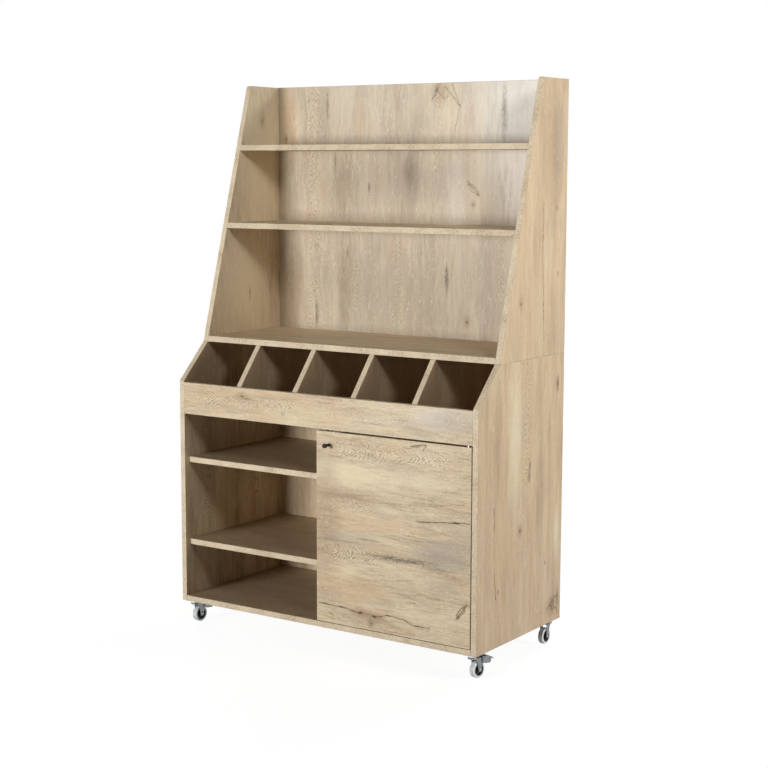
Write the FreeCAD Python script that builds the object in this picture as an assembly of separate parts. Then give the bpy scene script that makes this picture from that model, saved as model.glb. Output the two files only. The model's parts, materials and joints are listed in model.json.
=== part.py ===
"""Condiment station cabinet on four swivel casters.

A base unit with three open bays, a cupboard with an inset door and five sloped bins
carries a hutch with a worktop and two shelves. All boards are faced chipboard.

Frame: millimetres, +X to the right seen from the front, -Y to the front, +Z up.
The origin is on the floor, at the centre of the overall box, knob included.
"""
import FreeCAD
import Part

import math
import os

Vector = FreeCAD.Vector

# ---------------------------------------------------------------- overall sizes
WIDTH = 1100.0
DEPTH = 505.0
BOARD = 18.0
BACK_BOARD = 9.0
BASE_HEIGHT = 828.0
HUTCH_HEIGHT = 817.0

# ---------------------------------------------------------------- base unit
SLOPE_RISE = 115.0           # height of the sloped upper corner of the base sides
SLOPE_RUN = 117.0            # and how far back it leans
FRONT_BOARD_HEIGHT = 100.0
FRONT_BOARD_DROP = 4.5       # top of the front board below the start of the slope
BIN_COUNT = 5
TOP_BAY_CLEAR = 140.5        # open bay under the bin floor
MIDDLE_BAY_CLEAR = 249.0     # open bay between the two shelves
DOOR_SEAT_GAP = 1.5          # behind the door, to the partition and the open shelves
SHELF_PLAY = 0.5             # each end of a loose shelf

# ---------------------------------------------------------------- hutch
HUTCH_TOP_DEPTH = 155.0
HUTCH_CORNER_RADIUS = 10.0
LOWER_SHELF_RISE = 359.5     # undersides of the hutch shelves above the seam
UPPER_SHELF_RISE = 608.0

# ---------------------------------------------------------------- door
DOOR_OVERHANG = 3.5          # past the left face of the partition
DOOR_SIDE_GAP = 3.0
DOOR_TOP_GAP = 5.0
DOOR_BOTTOM_GAP = 1.5
SWING_CLEARANCE = 0.5        # left of the side gap as the door's edge swings past
RUNNING_GAP = 0.3            # between faces that turn on each other
PIN_RADIUS = 3.0
PIN_FIT = 0.05               # radial clearance of a pin or shaft in its hole
PIN_EMBED = 8.0              # pivot pin in the bottom board or front board
BOTTOM_PIN_ENGAGEMENT = 4.0
TOP_PIN_ENGAGEMENT = 10.0
BUSH_RADIUS = 5.0
BUSH_LENGTH = 14.0
BUSH_FLOOR = 2.0             # closed end of a bush
COLLAR_RADIUS = 4.5
PIN_CHAMFER = 0.8
CUPBOARD_SHELF_GAP = 8.0     # cupboard shelf behind the sweep of the door's edge
KNOB_LENGTH = 28.0
KNOB_HEAD_RADIUS = 7.0
KNOB_HEAD_LENGTH = 9.0
KNOB_NECK_RADIUS = 4.2
KNOB_NECK_LENGTH = 12.5
KNOB_FOOT_RADIUS = 5.0
KNOB_FOOT_HEIGHT = 1.5
KNOB_CHAMFER = 1.2
KNOB_FROM_EDGE = 46.5        # knob centre from the door's free edge
KNOB_FROM_TOP = 40.0
KNOB_THREAD_DEPTH = 15.0
KNOB_SCREW_SHORT = 1.0       # end of the screw before the bottom of its hole

# ---------------------------------------------------------------- fixings
FIT = 0.05                   # all round a fixing in its hole
DOWEL_RADIUS = 4.0
DOWEL_LENGTH = 30.0
DOWEL_IN_FACE = 10.0         # part of a dowel or cam bolt in the face of a board
CAM_RADIUS = 7.5
CAM_HEIGHT = 12.5
CAM_FROM_END = 34.0
CAM_BOLT_RADIUS = 3.0
FIXING_SPACING = 32.0        # from a cam bolt to its dowel
END_FIXING_INSET = 100.0     # first and last cam from the ends of a board's width
SHELF_PIN_RADIUS = 2.5
SHELF_PIN_LENGTH = 8.0       # in the board, and as much under the shelf
SHELF_PIN_INSET = 50.0
PAD_THICKNESS = 2.0
PAD_WIDTH = 10.0
PIN_ROW_PITCH = 32.0
SPARE_PIN_STEPS = (-2, -1, 1, 2)
SCREW_RADIUS = 2.0
SCREW_HEAD_RADIUS = 3.8
SCREW_HEAD_HEIGHT = 2.4
BACK_SCREW_LENGTH = 30.0
SMALL_SCREW_LENGTH = 14.0
BRACKET_LEG = 30.0
BRACKET_WIDTH = 18.0
BRACKET_THICKNESS = 2.0
BRACKET_FROM_BACK = 20.0
CATCH_SIZE = (46.0, 15.0, 13.0)
STRIKE_SIZE = (38.0, 1.2, 12.0)
CATCH_FROM_PARTITION = 14.0
CATCH_ROUNDING = 1.5
CATCH_SCREW_INSET = 7.5
STRIKE_FROM_TOP = 0.5        # strike plate below the top of the door
STRIKE_SCREW_LENGTH = 12.0
BRACKET_HOLE = 18.5          # bracket's holes from its corner

# ---------------------------------------------------------------- casters
WHEEL_RADIUS = 25.0
TYRE_WIDTH = 17.0
TYRE_THICKNESS = 6.5
TYRE_ROUNDING = 3.0
HUB_WIDTH = 16.0
HUB_BOSS_RADIUS = 7.0
HUB_BOSS_WIDTH = 19.0
HUB_WEB = 5.0
HUB_RIM = 2.2
HUB_DRAFT = 0.6
HUB_CHAMFER = 0.8
HUB_RIBS = 6
HUB_RIB_THICKNESS = 1.6
HUB_RIB_INSET = 1.5          # ribs below the face of the rim
AXLE_RADIUS = 4.0
AXLE_HEAD_RADIUS = 6.0
AXLE_HEAD_HEIGHT = 2.5
AXLE_HEAD_CHAMFER = 1.5
CASTER_INSET_X = 28.0        # kingpin from the side and from the front or back
CASTER_INSET_Y = 28.0
CASTER_TRAIL = 20.0
PLATE_SIZE = 46.0
PLATE_THICKNESS = 2.0
PLATE_CORNER = 6.0
PLATE_HOLE_SPACING = 34.0
PLATE_SCREW_LENGTH = 14.0    # plate and board together
RACEWAY_RADIUS = 15.0
RACEWAY_HEIGHT = 7.0
RACEWAY_SHOULDER = 2.0       # height of the raceway's widest line
RACEWAY_NECK = 3.5           # narrowing of the raceway up to the plate
LOWER_CUP_RADIUS = 13.0
LOWER_CUP_HEIGHT = 3.4
CUP_CHAMFER = 1.0
KINGPIN_RADIUS = 4.0
RIVET_HEAD_RADIUS = 7.0
RIVET_HEAD_HEIGHT = 3.5
SHEET = 2.2                  # steel of the fork
FORK_SIDE_GAP = 0.7          # between the hub's boss and a fork leg
CROWN_OVER_TYRE = 10.1       # crown above the top of the tyre
FORK_NOSE = 10.0             # crown ahead of the kingpin
FORK_HEEL = 24.0             # crown behind the kingpin
CROWN_CORNER = 3.0
LEG_SHOULDER = 1.0           # top edge of a leg below the top of the crown
LEG_END_RADIUS = 6.5
LEG_TOP_FRONT = 0.5          # front edge of a leg behind the kingpin, at the crown
LEG_WAIST_FRONT = 8.5        # and at the waist
LEG_WAIST_DROP = 12.0        # waist below the crown
LEG_HEEL_HEIGHT = 8.0        # rear end of a leg
PLAIN_HEEL_DROP = 6.0        # heel of a leg with no pedal, below the crown
PEDAL_EAR_REACH = 6.5        # heel of a leg behind and above the pedal's pivot
PEDAL_EAR_RISE = 4.0
PEDAL_PIVOT_BACK = 11.5      # pedal pivot behind the axle
PEDAL_PIVOT_OVER_TYRE = 1.5  # and above the top of the tyre
PEDAL_PIN_RADIUS = 2.0
PEDAL_SHEET = 2.0
PEDAL_SIDE_GAP = 0.6         # between a fork leg and a flange of the pedal
PEDAL_REACH = 64.0           # tip behind the axle
PEDAL_DROP = 17.0            # tip below the root of the tread
PEDAL_ROOT_AHEAD = 4.5       # root of the tread ahead of the pedal's pivot
PEDAL_RISE = 1.0             # root of the tread above the crown
PEDAL_KNEE = 24.0            # flat of the tread from its root
PEDAL_TIP_ROUNDING = 13.0
PEDAL_PIN_PROUD = 1.0        # each end of the pedal's pin
FLANGE_DEPTH = 24.5          # pedal flange below the root of the tread, at its end
FLANGE_REACH = 42.0          # end of a flange behind the axle
FLANGE_UNDER_PIN = (4.5, 10.0)   # lower edge below the pivot, ahead of it and behind it
SHOE_RADIUS = 2.1
SHOE_WIDTH = 14.0
SHOE_BACK = 8.0              # brake shoe behind and below the pedal pivot
SHOE_DOWN = 5.0
SWIVEL_ANGLES = {            # degrees from +Y towards +X that the wheel trails at rest
    "fl": 6.0,
    "fr": 10.0,
    "rl": 172.0,
    "rr": 181.0,
}

# ---------------------------------------------------------------- derived places
CROWN_BOTTOM = 2 * WHEEL_RADIUS + CROWN_OVER_TYRE
CROWN_TOP = CROWN_BOTTOM + SHEET
RIVET_TOP = CROWN_BOTTOM - RUNNING_GAP
RACEWAY_BOTTOM = CROWN_TOP + LOWER_CUP_HEIGHT + RUNNING_GAP
CASTER_HEIGHT = RACEWAY_BOTTOM + RACEWAY_HEIGHT + PLATE_THICKNESS
FORK_INNER = HUB_BOSS_WIDTH / 2 + FORK_SIDE_GAP
FORK_OUTER = FORK_INNER + SHEET
PEDAL_PIVOT_S = CASTER_TRAIL + PEDAL_PIVOT_BACK
PEDAL_PIVOT_Z = 2 * WHEEL_RADIUS + PEDAL_PIVOT_OVER_TYRE

INNER_SETBACK = BOARD + DOOR_SEAT_GAP

LEFT = -WIDTH / 2
RIGHT = WIDTH / 2
FRONT = (KNOB_LENGTH - DEPTH) / 2
BACK = FRONT + DEPTH
INNER_LEFT = LEFT + BOARD
INNER_RIGHT = RIGHT - BOARD
PANEL_FRONT = BACK - BACK_BOARD
UNDERSIDE = CASTER_HEIGHT
FLOOR_TOP = UNDERSIDE + BOARD
SEAM = UNDERSIDE + BASE_HEIGHT
SLOPE_START = SEAM - SLOPE_RISE
FRONT_BOARD_TOP = SLOPE_START - FRONT_BOARD_DROP
BIN_UNDERSIDE = FRONT_BOARD_TOP - FRONT_BOARD_HEIGHT
BIN_TOP = BIN_UNDERSIDE + BOARD
SEAM_FRONT = FRONT + SLOPE_RUN
HUTCH_TOP = SEAM + HUTCH_HEIGHT
HUTCH_TOP_FRONT = BACK - HUTCH_TOP_DEPTH
UPPER_OPEN_SHELF = BIN_UNDERSIDE - TOP_BAY_CLEAR - BOARD
LOWER_OPEN_SHELF = UPPER_OPEN_SHELF - MIDDLE_BAY_CLEAR - BOARD
PARTITION_LEFT = -BOARD / 2
PARTITION_RIGHT = BOARD / 2
CUPBOARD_SHELF = (FLOOR_TOP + BIN_UNDERSIDE - BOARD) / 2

DOOR_LEFT = PARTITION_LEFT - DOOR_OVERHANG
DOOR_RIGHT = INNER_RIGHT - DOOR_SIDE_GAP
DOOR_BOTTOM = FLOOR_TOP + DOOR_BOTTOM_GAP
DOOR_TOP = BIN_UNDERSIDE - DOOR_TOP_GAP
DOOR_BACK = FRONT + BOARD
PIVOT_DEPTH = BOARD / 2
SWING_ROOM = DOOR_SIDE_GAP - SWING_CLEARANCE
PIVOT_FROM_EDGE = (PIVOT_DEPTH ** 2 - SWING_ROOM ** 2) / (2 * SWING_ROOM)
PIVOT_X = DOOR_RIGHT - PIVOT_FROM_EDGE
PIVOT_Y = FRONT + PIVOT_DEPTH
DOOR_EDGE_SWEEP = math.hypot(PIVOT_FROM_EDGE, BOARD - PIVOT_DEPTH)
CUPBOARD_SHELF_FRONT = PIVOT_Y + DOOR_EDGE_SWEEP + CUPBOARD_SHELF_GAP
KNOB_X = DOOR_LEFT + KNOB_FROM_EDGE
KNOB_Z = DOOR_TOP - KNOB_FROM_TOP


# ---------------------------------------------------------------- shape helpers
def block(x_low, x_high, y_low, y_high, z_low, z_high):
    """A box between two corners."""
    return Part.makeBox(
        x_high - x_low, y_high - y_low, z_high - z_low, Vector(x_low, y_low, z_low)
    )


def rod(start, direction, radius, length):
    """A round bar from start along direction."""
    return Part.makeCylinder(radius, length, Vector(*start), Vector(*direction))


def outline(corners):
    """A closed wire through (point, radius) corners, each rounded where its radius isn't zero."""
    edges = []
    ends = []
    count = len(corners)
    for index, (point, radius) in enumerate(corners):
        before = corners[index - 1][0]
        after = corners[(index + 1) % count][0]
        if radius == 0:
            ends.append((point, point))
            continue
        inward = (before - point).normalize()
        outward = (after - point).normalize()
        half = inward.getAngle(outward) / 2
        reach = radius / math.tan(half)
        first = point + inward * reach
        last = point + outward * reach
        bisector = (inward + outward).normalize()
        middle = point + bisector * (radius / math.sin(half) - radius)
        edges.append(Part.Arc(first, middle, last).toShape())
        ends.append((first, last))
    for index in range(count):
        start = ends[index - 1][1]
        end = ends[index][0]
        if (end - start).Length > 1e-6:
            edges.append(Part.makeLine(start, end))
    return Part.Wire(Part.__sortEdges__(edges))


def across_x(corners, x_low, x_high):
    """A prism along X from (y, z, radius) corners."""
    wire = outline([(Vector(x_low, y, z), radius) for y, z, radius in corners])
    return Part.Face(wire).extrude(Vector(x_high - x_low, 0, 0))


def across_y(corners, y_low, y_high):
    """A prism along Y from (x, z, radius) corners."""
    wire = outline([(Vector(x, y_low, z), radius) for x, z, radius in corners])
    return Part.Face(wire).extrude(Vector(0, y_high - y_low, 0))


def upright(corners, z_low, z_high):
    """A prism along Z from (x, y, radius) corners."""
    wire = outline([(Vector(x, y, z_low), radius) for x, y, radius in corners])
    return Part.Face(wire).extrude(Vector(0, 0, z_high - z_low))


def turned(profile, centre, axis):
    """A solid of revolution about axis through centre, from (radius, distance along axis) points."""
    points = [Vector(radius, 0, along) for radius, along in profile]
    face = Part.Face(Part.makePolygon(points + points[:1]))
    solid = face.revolve(Vector(0, 0, 0), Vector(0, 0, 1), 360)
    solid.Placement = FreeCAD.Placement(
        Vector(*centre), FreeCAD.Rotation(Vector(0, 0, 1), Vector(*axis))
    )
    return solid


def joined(shapes):
    """Several touching solids made one."""
    return shapes[0].fuse(shapes[1:]).removeSplitter()


def without(shape, cutters):
    """A solid less its holes."""
    return shape.cut(cutters) if cutters else shape


def hutch_front(z):
    """The slanted front line of the hutch at height z."""
    return SEAM_FRONT + (HUTCH_TOP_FRONT - SEAM_FRONT) * (z - SEAM) / HUTCH_HEIGHT


# ---------------------------------------------------------------- fixings
class Fixings:
    """The fixings of one kind in place, with the holes that each board needs for them."""

    def __init__(self):
        self.solids = {}
        self.holes = {}

    def add(self, kind, solid, hole, boards):
        self.solids.setdefault(kind, []).append(solid)
        for board in boards:
            self.holes.setdefault(board, []).append(hole)

    def rod(self, kind, start, direction, radius, length, boards):
        """A plain round fixing, in a hole that is larger by the fit all round."""
        solid = rod(start, direction, radius, length)
        step = Vector(*direction).multiply(FIT)
        hole_start = Vector(*start) - step
        hole = rod(hole_start, direction, radius + FIT, length + 2 * FIT)
        self.add(kind, solid, hole, boards)

    def screw(self, kind, head_at, direction, length, boards):
        """A pan-headed screw: its head stands before head_at, its shank goes along direction."""
        along = Vector(*direction)
        base = Vector(*head_at)
        rim = SCREW_HEAD_HEIGHT / 2
        profile = [
            (0, -SCREW_HEAD_HEIGHT),
            (SCREW_HEAD_RADIUS - rim, -SCREW_HEAD_HEIGHT),
            (SCREW_HEAD_RADIUS, -rim),
            (SCREW_HEAD_RADIUS, 0),
            (SCREW_RADIUS, 0),
            (SCREW_RADIUS, length - SCREW_RADIUS),
            (0, length),
        ]
        hole = rod(base, along, SCREW_RADIUS + FIT, length + FIT)
        self.add(kind, turned(profile, base, along), hole, boards)

    def countersunk(self, kind, face_at, direction, length, boards):
        """A countersunk screw, its head flush with the face at face_at."""
        along = Vector(*direction)
        base = Vector(*face_at)
        cone = SCREW_HEAD_RADIUS - SCREW_RADIUS
        profile = [
            (0, 0),
            (SCREW_HEAD_RADIUS, 0),
            (SCREW_RADIUS, cone),
            (SCREW_RADIUS, length - SCREW_RADIUS),
            (0, length),
        ]
        bore = [
            (0, 0),
            (SCREW_HEAD_RADIUS + FIT, 0),
            (SCREW_RADIUS + FIT, cone),
            (SCREW_RADIUS + FIT, length + FIT),
            (0, length + FIT),
        ]
        self.add(kind, turned(profile, base, along), turned(bore, base, along), boards)


fixings = Fixings()


def dowel(start, direction, boards):
    """A wooden dowel, from DOWEL_IN_FACE before start along direction."""
    along = Vector(*direction)
    tail = Vector(*start) - along * DOWEL_IN_FACE
    fixings.rod("dowels", tail, along, DOWEL_RADIUS, DOWEL_LENGTH, boards)


def cam_and_dowel(face_x, inward, y, underside, face_board, end_board):
    """A cam lock, its bolt and a dowel, where end_board's end meets the face at face_x."""
    middle = underside + BOARD / 2
    cam_x = face_x + inward * CAM_FROM_END
    fixings.rod("cam_locks", (cam_x, y, underside), (0, 0, 1), CAM_RADIUS, CAM_HEIGHT, [end_board])
    tail = (face_x - inward * DOWEL_IN_FACE, y, middle)
    length = DOWEL_IN_FACE + CAM_FROM_END - CAM_RADIUS - FIT
    boards = [face_board, end_board]
    fixings.rod("cam_bolts", tail, (inward, 0, 0), CAM_BOLT_RADIUS, length, boards)
    dowel((face_x, y + FIXING_SPACING, middle), (inward, 0, 0), boards)


def fix_between_sides(board, underside, places, left_board, right_board):
    """Cams and dowels at both ends of a board, at each place in Y."""
    for y in places:
        cam_and_dowel(INNER_LEFT, 1, y, underside, left_board, board)
        cam_and_dowel(INNER_RIGHT, -1, y, underside, right_board, board)


def spoon_pin(face_x, inward, y, shelf_underside, board):
    """A shelf pin with a flat pad under the shelf."""
    pin_z = shelf_underside - PAD_THICKNESS - SHELF_PIN_RADIUS
    tail = Vector(face_x - inward * SHELF_PIN_LENGTH, y, pin_z)
    pin = rod(tail, (inward, 0, 0), SHELF_PIN_RADIUS, 2 * SHELF_PIN_LENGTH)
    x_ends = sorted((face_x, face_x + inward * SHELF_PIN_LENGTH))
    pad = block(
        x_ends[0], x_ends[1], y - PAD_WIDTH / 2, y + PAD_WIDTH / 2,
        pin_z, shelf_underside,
    )
    hole = pin_hole(face_x, inward, y, pin_z)
    fixings.add("shelf_pins", joined([pin, pad]), hole, [board])
    return pin_z


def pin_hole(face_x, inward, y, z):
    """The blind hole of a shelf pin."""
    start = (face_x - inward * (SHELF_PIN_LENGTH + FIT), y, z)
    return rod(start, (inward, 0, 0), SHELF_PIN_RADIUS + FIT, SHELF_PIN_LENGTH + FIT)


def rest_shelf(shelf_front, shelf_underside, faces):
    """Four pins under a loose shelf; faces are (face x, inward, board, with spare holes)."""
    for face_x, inward, board, spare in faces:
        for y in (shelf_front + SHELF_PIN_INSET, PANEL_FRONT - SHELF_PIN_INSET):
            pin_z = spoon_pin(face_x, inward, y, shelf_underside, board)
            if spare:
                for step in SPARE_PIN_STEPS:
                    hole = pin_hole(face_x, inward, y, pin_z + step * PIN_ROW_PITCH)
                    fixings.holes[board].append(hole)


def bin_bay():
    """Clear width of one bin."""
    return (INNER_RIGHT - INNER_LEFT - (BIN_COUNT - 1) * BOARD) / BIN_COUNT


def divider_left(number):
    """Left face of divider 1, 2, ..."""
    return INNER_LEFT + number * bin_bay() + (number - 1) * BOARD


def lay_out_fixings():
    """Every fixing between the boards."""
    base_sides = ("base_side_left", "base_side_right")
    hutch_sides = ("hutch_side_left", "hutch_side_right")
    wide = (FRONT + END_FIXING_INSET, PANEL_FRONT - END_FIXING_INSET)
    fix_between_sides("bottom_board", UNDERSIDE, wide, *base_sides)
    fix_between_sides("bin_floor", BIN_UNDERSIDE, wide, *base_sides)
    worktop_front = SEAM_FRONT + END_FIXING_INSET / 2
    worktop_back = PANEL_FRONT - END_FIXING_INSET
    fix_between_sides("worktop", SEAM, (worktop_front, worktop_back), *hutch_sides)
    for board, rise in (
        ("hutch_shelf_lower", LOWER_SHELF_RISE),
        ("hutch_shelf_upper", UPPER_SHELF_RISE),
    ):
        underside = SEAM + rise
        shelf_middle = (hutch_front(underside) + PANEL_FRONT) / 2
        place = shelf_middle - FIXING_SPACING / 2
        fix_between_sides(board, underside, (place,), *hutch_sides)

    for z in (BIN_UNDERSIDE + FRONT_BOARD_HEIGHT / 4, FRONT_BOARD_TOP - FRONT_BOARD_HEIGHT / 4):
        for face_x, inward, side in (
            (INNER_LEFT, 1, "base_side_left"),
            (INNER_RIGHT, -1, "base_side_right"),
        ):
            dowel((face_x, FRONT + BOARD / 2, z), (inward, 0, 0), [side, "front_board"])

    for y in (FRONT + END_FIXING_INSET, PANEL_FRONT - END_FIXING_INSET):
        dowel((0, y, FLOOR_TOP), (0, 0, 1), ["bottom_board", "partition"])
        dowel((0, y, BIN_UNDERSIDE), (0, 0, -1), ["bin_floor", "partition"])
        for number in range(1, BIN_COUNT):
            x = divider_left(number) + BOARD / 2
            divider = f"bin_divider_{number}"
            dowel((x, y, BIN_TOP), (0, 0, 1), ["bin_floor", divider])

    for x, end in ((LEFT + BOARD / 2, "left"), (RIGHT - BOARD / 2, "right")):
        for y in (worktop_front + 2 * FIXING_SPACING, worktop_back - FIXING_SPACING):
            dowel((x, y, SEAM), (0, 0, 1), [f"base_side_{end}", f"hutch_side_{end}"])

    open_faces = (
        (INNER_LEFT, 1, "base_side_left", False),
        (PARTITION_LEFT, -1, "partition", False),
    )
    for underside in (UPPER_OPEN_SHELF, LOWER_OPEN_SHELF):
        rest_shelf(FRONT + INNER_SETBACK, underside, open_faces)
    cupboard_faces = (
        (PARTITION_RIGHT, 1, "partition", True),
        (INNER_RIGHT, -1, "base_side_right", True),
    )
    rest_shelf(CUPBOARD_SHELF_FRONT, CUPBOARD_SHELF, cupboard_faces)

    panel_rows = (
        ("base_back_panel", "bin_floor", BIN_UNDERSIDE),
        ("hutch_back_panel", "worktop", SEAM),
        ("hutch_back_panel", "hutch_shelf_lower", SEAM + LOWER_SHELF_RISE),
        ("hutch_back_panel", "hutch_shelf_upper", SEAM + UPPER_SHELF_RISE),
    )
    for panel, board, underside in panel_rows:
        for number in range(BIN_COUNT):
            x = INNER_LEFT + bin_bay() / 2 + number * (bin_bay() + BOARD)
            point = (x, BACK, underside + BOARD / 2)
            fixings.countersunk(
                "back_panel_screws", point, (0, -1, 0), BACK_SCREW_LENGTH, [panel, board]
            )
    for z in (FLOOR_TOP + END_FIXING_INSET, BIN_UNDERSIDE - END_FIXING_INSET):
        fixings.countersunk(
            "back_panel_screws", (0, BACK, z), (0, -1, 0), BACK_SCREW_LENGTH,
            ["base_back_panel", "partition"],
        )


# ---------------------------------------------------------------- small hardware
def hutch_brackets():
    """Two steel angles that hold the worktop to the base sides, and their screws."""
    brackets = []
    y_low = PANEL_FRONT - BRACKET_FROM_BACK - BRACKET_WIDTH
    y_middle = y_low + BRACKET_WIDTH / 2
    for face_x, inward, side in (
        (INNER_LEFT, 1, "base_side_left"),
        (INNER_RIGHT, -1, "base_side_right"),
    ):
        def reach(distance):
            return face_x + inward * distance

        corners = [
            (reach(0), SEAM, 0),
            (reach(BRACKET_LEG), SEAM, BRACKET_THICKNESS / 4),
            (reach(BRACKET_LEG), SEAM - BRACKET_THICKNESS, BRACKET_THICKNESS / 4),
            (reach(BRACKET_THICKNESS), SEAM - BRACKET_THICKNESS, BRACKET_THICKNESS / 2),
            (reach(BRACKET_THICKNESS), SEAM - BRACKET_LEG, BRACKET_THICKNESS / 4),
            (reach(0), SEAM - BRACKET_LEG, BRACKET_THICKNESS / 4),
        ]
        angle = across_y(corners, y_low, y_low + BRACKET_WIDTH)
        wall_head = (reach(BRACKET_THICKNESS), y_middle, SEAM - BRACKET_HOLE)
        top_head = (reach(BRACKET_HOLE), y_middle, SEAM - BRACKET_THICKNESS)
        name = f"bracket {side}"
        fixings.screw("small_screws", wall_head, (-inward, 0, 0), SMALL_SCREW_LENGTH, [side, name])
        fixings.screw("small_screws", top_head, (0, 0, 1), SMALL_SCREW_LENGTH, ["worktop", name])
        brackets.append(without(angle, fixings.holes[name]))
    return brackets


def magnetic_catch():
    """The catch under the bin floor, with its two screws."""
    width, depth, height = CATCH_SIZE
    x_low = PARTITION_RIGHT + CATCH_FROM_PARTITION
    y_low = DOOR_BACK + STRIKE_SIZE[1] + RUNNING_GAP
    case = block(x_low, x_low + width, y_low, y_low + depth, BIN_UNDERSIDE - height, BIN_UNDERSIDE)
    upright_edges = [edge for edge in case.Edges if edge.Vertexes[0].Z != edge.Vertexes[1].Z]
    case = case.makeFillet(CATCH_ROUNDING, upright_edges)
    for x in (x_low + CATCH_SCREW_INSET, x_low + width - CATCH_SCREW_INSET):
        head = (x, y_low + depth / 2, BIN_UNDERSIDE - height)
        fixings.screw(
            "small_screws", head, (0, 0, 1), height + BOARD / 2, ["bin_floor", "magnetic_catch"]
        )
    return without(case, fixings.holes["magnetic_catch"])


def strike_plate():
    """The steel plate on the back of the door that the catch pulls on, and its screw."""
    width, thickness, height = STRIKE_SIZE
    x_middle = PARTITION_RIGHT + CATCH_FROM_PARTITION + CATCH_SIZE[0] / 2
    z_top = DOOR_TOP - STRIKE_FROM_TOP
    corners = [
        (x_middle + sx * width / 2, z, CATCH_ROUNDING)
        for sx, z in ((-1, z_top), (1, z_top), (1, z_top - height), (-1, z_top - height))
    ]
    plate = across_y(corners, DOOR_BACK, DOOR_BACK + thickness)
    fixings.countersunk(
        "strike_screw", (x_middle, DOOR_BACK + thickness, z_top - height / 2), (0, -1, 0),
        STRIKE_SCREW_LENGTH, ["strike_plate", "door"],
    )
    return without(plate, fixings.holes["strike_plate"])


def knob():
    """A turned post knob; its screw comes through the door from behind."""
    head = KNOB_HEAD_RADIUS
    neck = KNOB_NECK_RADIUS
    foot_slope = KNOB_FOOT_RADIUS - neck
    hollow = SCREW_RADIUS + FIT
    profile = [
        (hollow, 0),
        (KNOB_FOOT_RADIUS, 0),
        (KNOB_FOOT_RADIUS, KNOB_FOOT_HEIGHT),
        (neck, KNOB_FOOT_HEIGHT + foot_slope),
        (neck, KNOB_NECK_LENGTH),
        (head, KNOB_LENGTH - KNOB_HEAD_LENGTH),
        (head, KNOB_LENGTH - KNOB_CHAMFER),
        (head - KNOB_CHAMFER, KNOB_LENGTH),
        (0, KNOB_LENGTH),
        (0, KNOB_THREAD_DEPTH),
        (hollow, KNOB_THREAD_DEPTH),
    ]
    length = BOARD + KNOB_THREAD_DEPTH - KNOB_SCREW_SHORT
    fixings.screw("knob_screw", (KNOB_X, DOOR_BACK, KNOB_Z), (0, -1, 0), length, ["door"])
    return turned(profile, (KNOB_X, FRONT, KNOB_Z), (0, -1, 0))


def pivots():
    """Pins in the bottom board and the front board, and the bushes in the door."""
    collar = DOOR_BOTTOM_GAP - RUNNING_GAP
    pin_end = DOOR_BOTTOM_GAP + BOTTOM_PIN_ENGAGEMENT
    bottom_profile = [
        (0, -PIN_EMBED),
        (PIN_RADIUS, -PIN_EMBED),
        (PIN_RADIUS, 0),
        (COLLAR_RADIUS, 0),
        (COLLAR_RADIUS, collar),
        (PIN_RADIUS, collar),
        (PIN_RADIUS, pin_end - PIN_CHAMFER),
        (PIN_RADIUS - PIN_CHAMFER, pin_end),
        (0, pin_end),
    ]
    bottom_pin = turned(bottom_profile, (PIVOT_X, PIVOT_Y, FLOOR_TOP), (0, 0, 1))
    bottom_hole = rod(
        (PIVOT_X, PIVOT_Y, FLOOR_TOP - PIN_EMBED - FIT), (0, 0, 1), PIN_RADIUS + FIT, PIN_EMBED + FIT
    )
    top_length = PIN_EMBED + DOOR_TOP_GAP + TOP_PIN_ENGAGEMENT
    top_start = (PIVOT_X, PIVOT_Y, BIN_UNDERSIDE + PIN_EMBED)
    top_pin = rod(top_start, (0, 0, -1), PIN_RADIUS, top_length)
    top_hole = rod(
        (PIVOT_X, PIVOT_Y, BIN_UNDERSIDE), (0, 0, 1), PIN_RADIUS + FIT, PIN_EMBED + FIT
    )
    fixings.holes.setdefault("bottom_board", []).append(bottom_hole)
    fixings.holes.setdefault("front_board", []).append(top_hole)

    bushes = []
    for end, direction in ((DOOR_BOTTOM, 1), (DOOR_TOP, -1)):
        start = (PIVOT_X, PIVOT_Y, end)
        sleeve = rod(start, (0, 0, direction), BUSH_RADIUS, BUSH_LENGTH)
        bore = rod(start, (0, 0, direction), PIN_RADIUS + PIN_FIT, BUSH_LENGTH - BUSH_FLOOR)
        bushes.append(sleeve.cut(bore))
        pocket = rod(start, (0, 0, direction), BUSH_RADIUS + FIT, BUSH_LENGTH + FIT)
        fixings.holes.setdefault("door", []).append(pocket)
    return bottom_pin, top_pin, bushes


# ---------------------------------------------------------------- boards
def base_side(x_low):
    """A side of the base: square below, sloped at the front of the bins."""
    corners = [
        (FRONT, UNDERSIDE, 0),
        (BACK, UNDERSIDE, 0),
        (BACK, SEAM, 0),
        (SEAM_FRONT, SEAM, 0),
        (FRONT, SLOPE_START, 0),
    ]
    return across_x(corners, x_low, x_low + BOARD)


def hutch_side(x_low):
    """A side of the hutch: its front edge slants back to the top."""
    corners = [
        (SEAM_FRONT, SEAM, 0),
        (BACK, SEAM, 0),
        (BACK, HUTCH_TOP, 0),
        (HUTCH_TOP_FRONT, HUTCH_TOP, HUTCH_CORNER_RADIUS),
    ]
    return across_x(corners, x_low, x_low + BOARD)


def hutch_board(underside):
    """A board between the hutch sides, its front edge cut to their slant."""
    top = underside + BOARD
    corners = [
        (hutch_front(underside), underside, 0),
        (PANEL_FRONT, underside, 0),
        (PANEL_FRONT, top, 0),
        (hutch_front(top), top, 0),
    ]
    return across_x(corners, INNER_LEFT, INNER_RIGHT)


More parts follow.
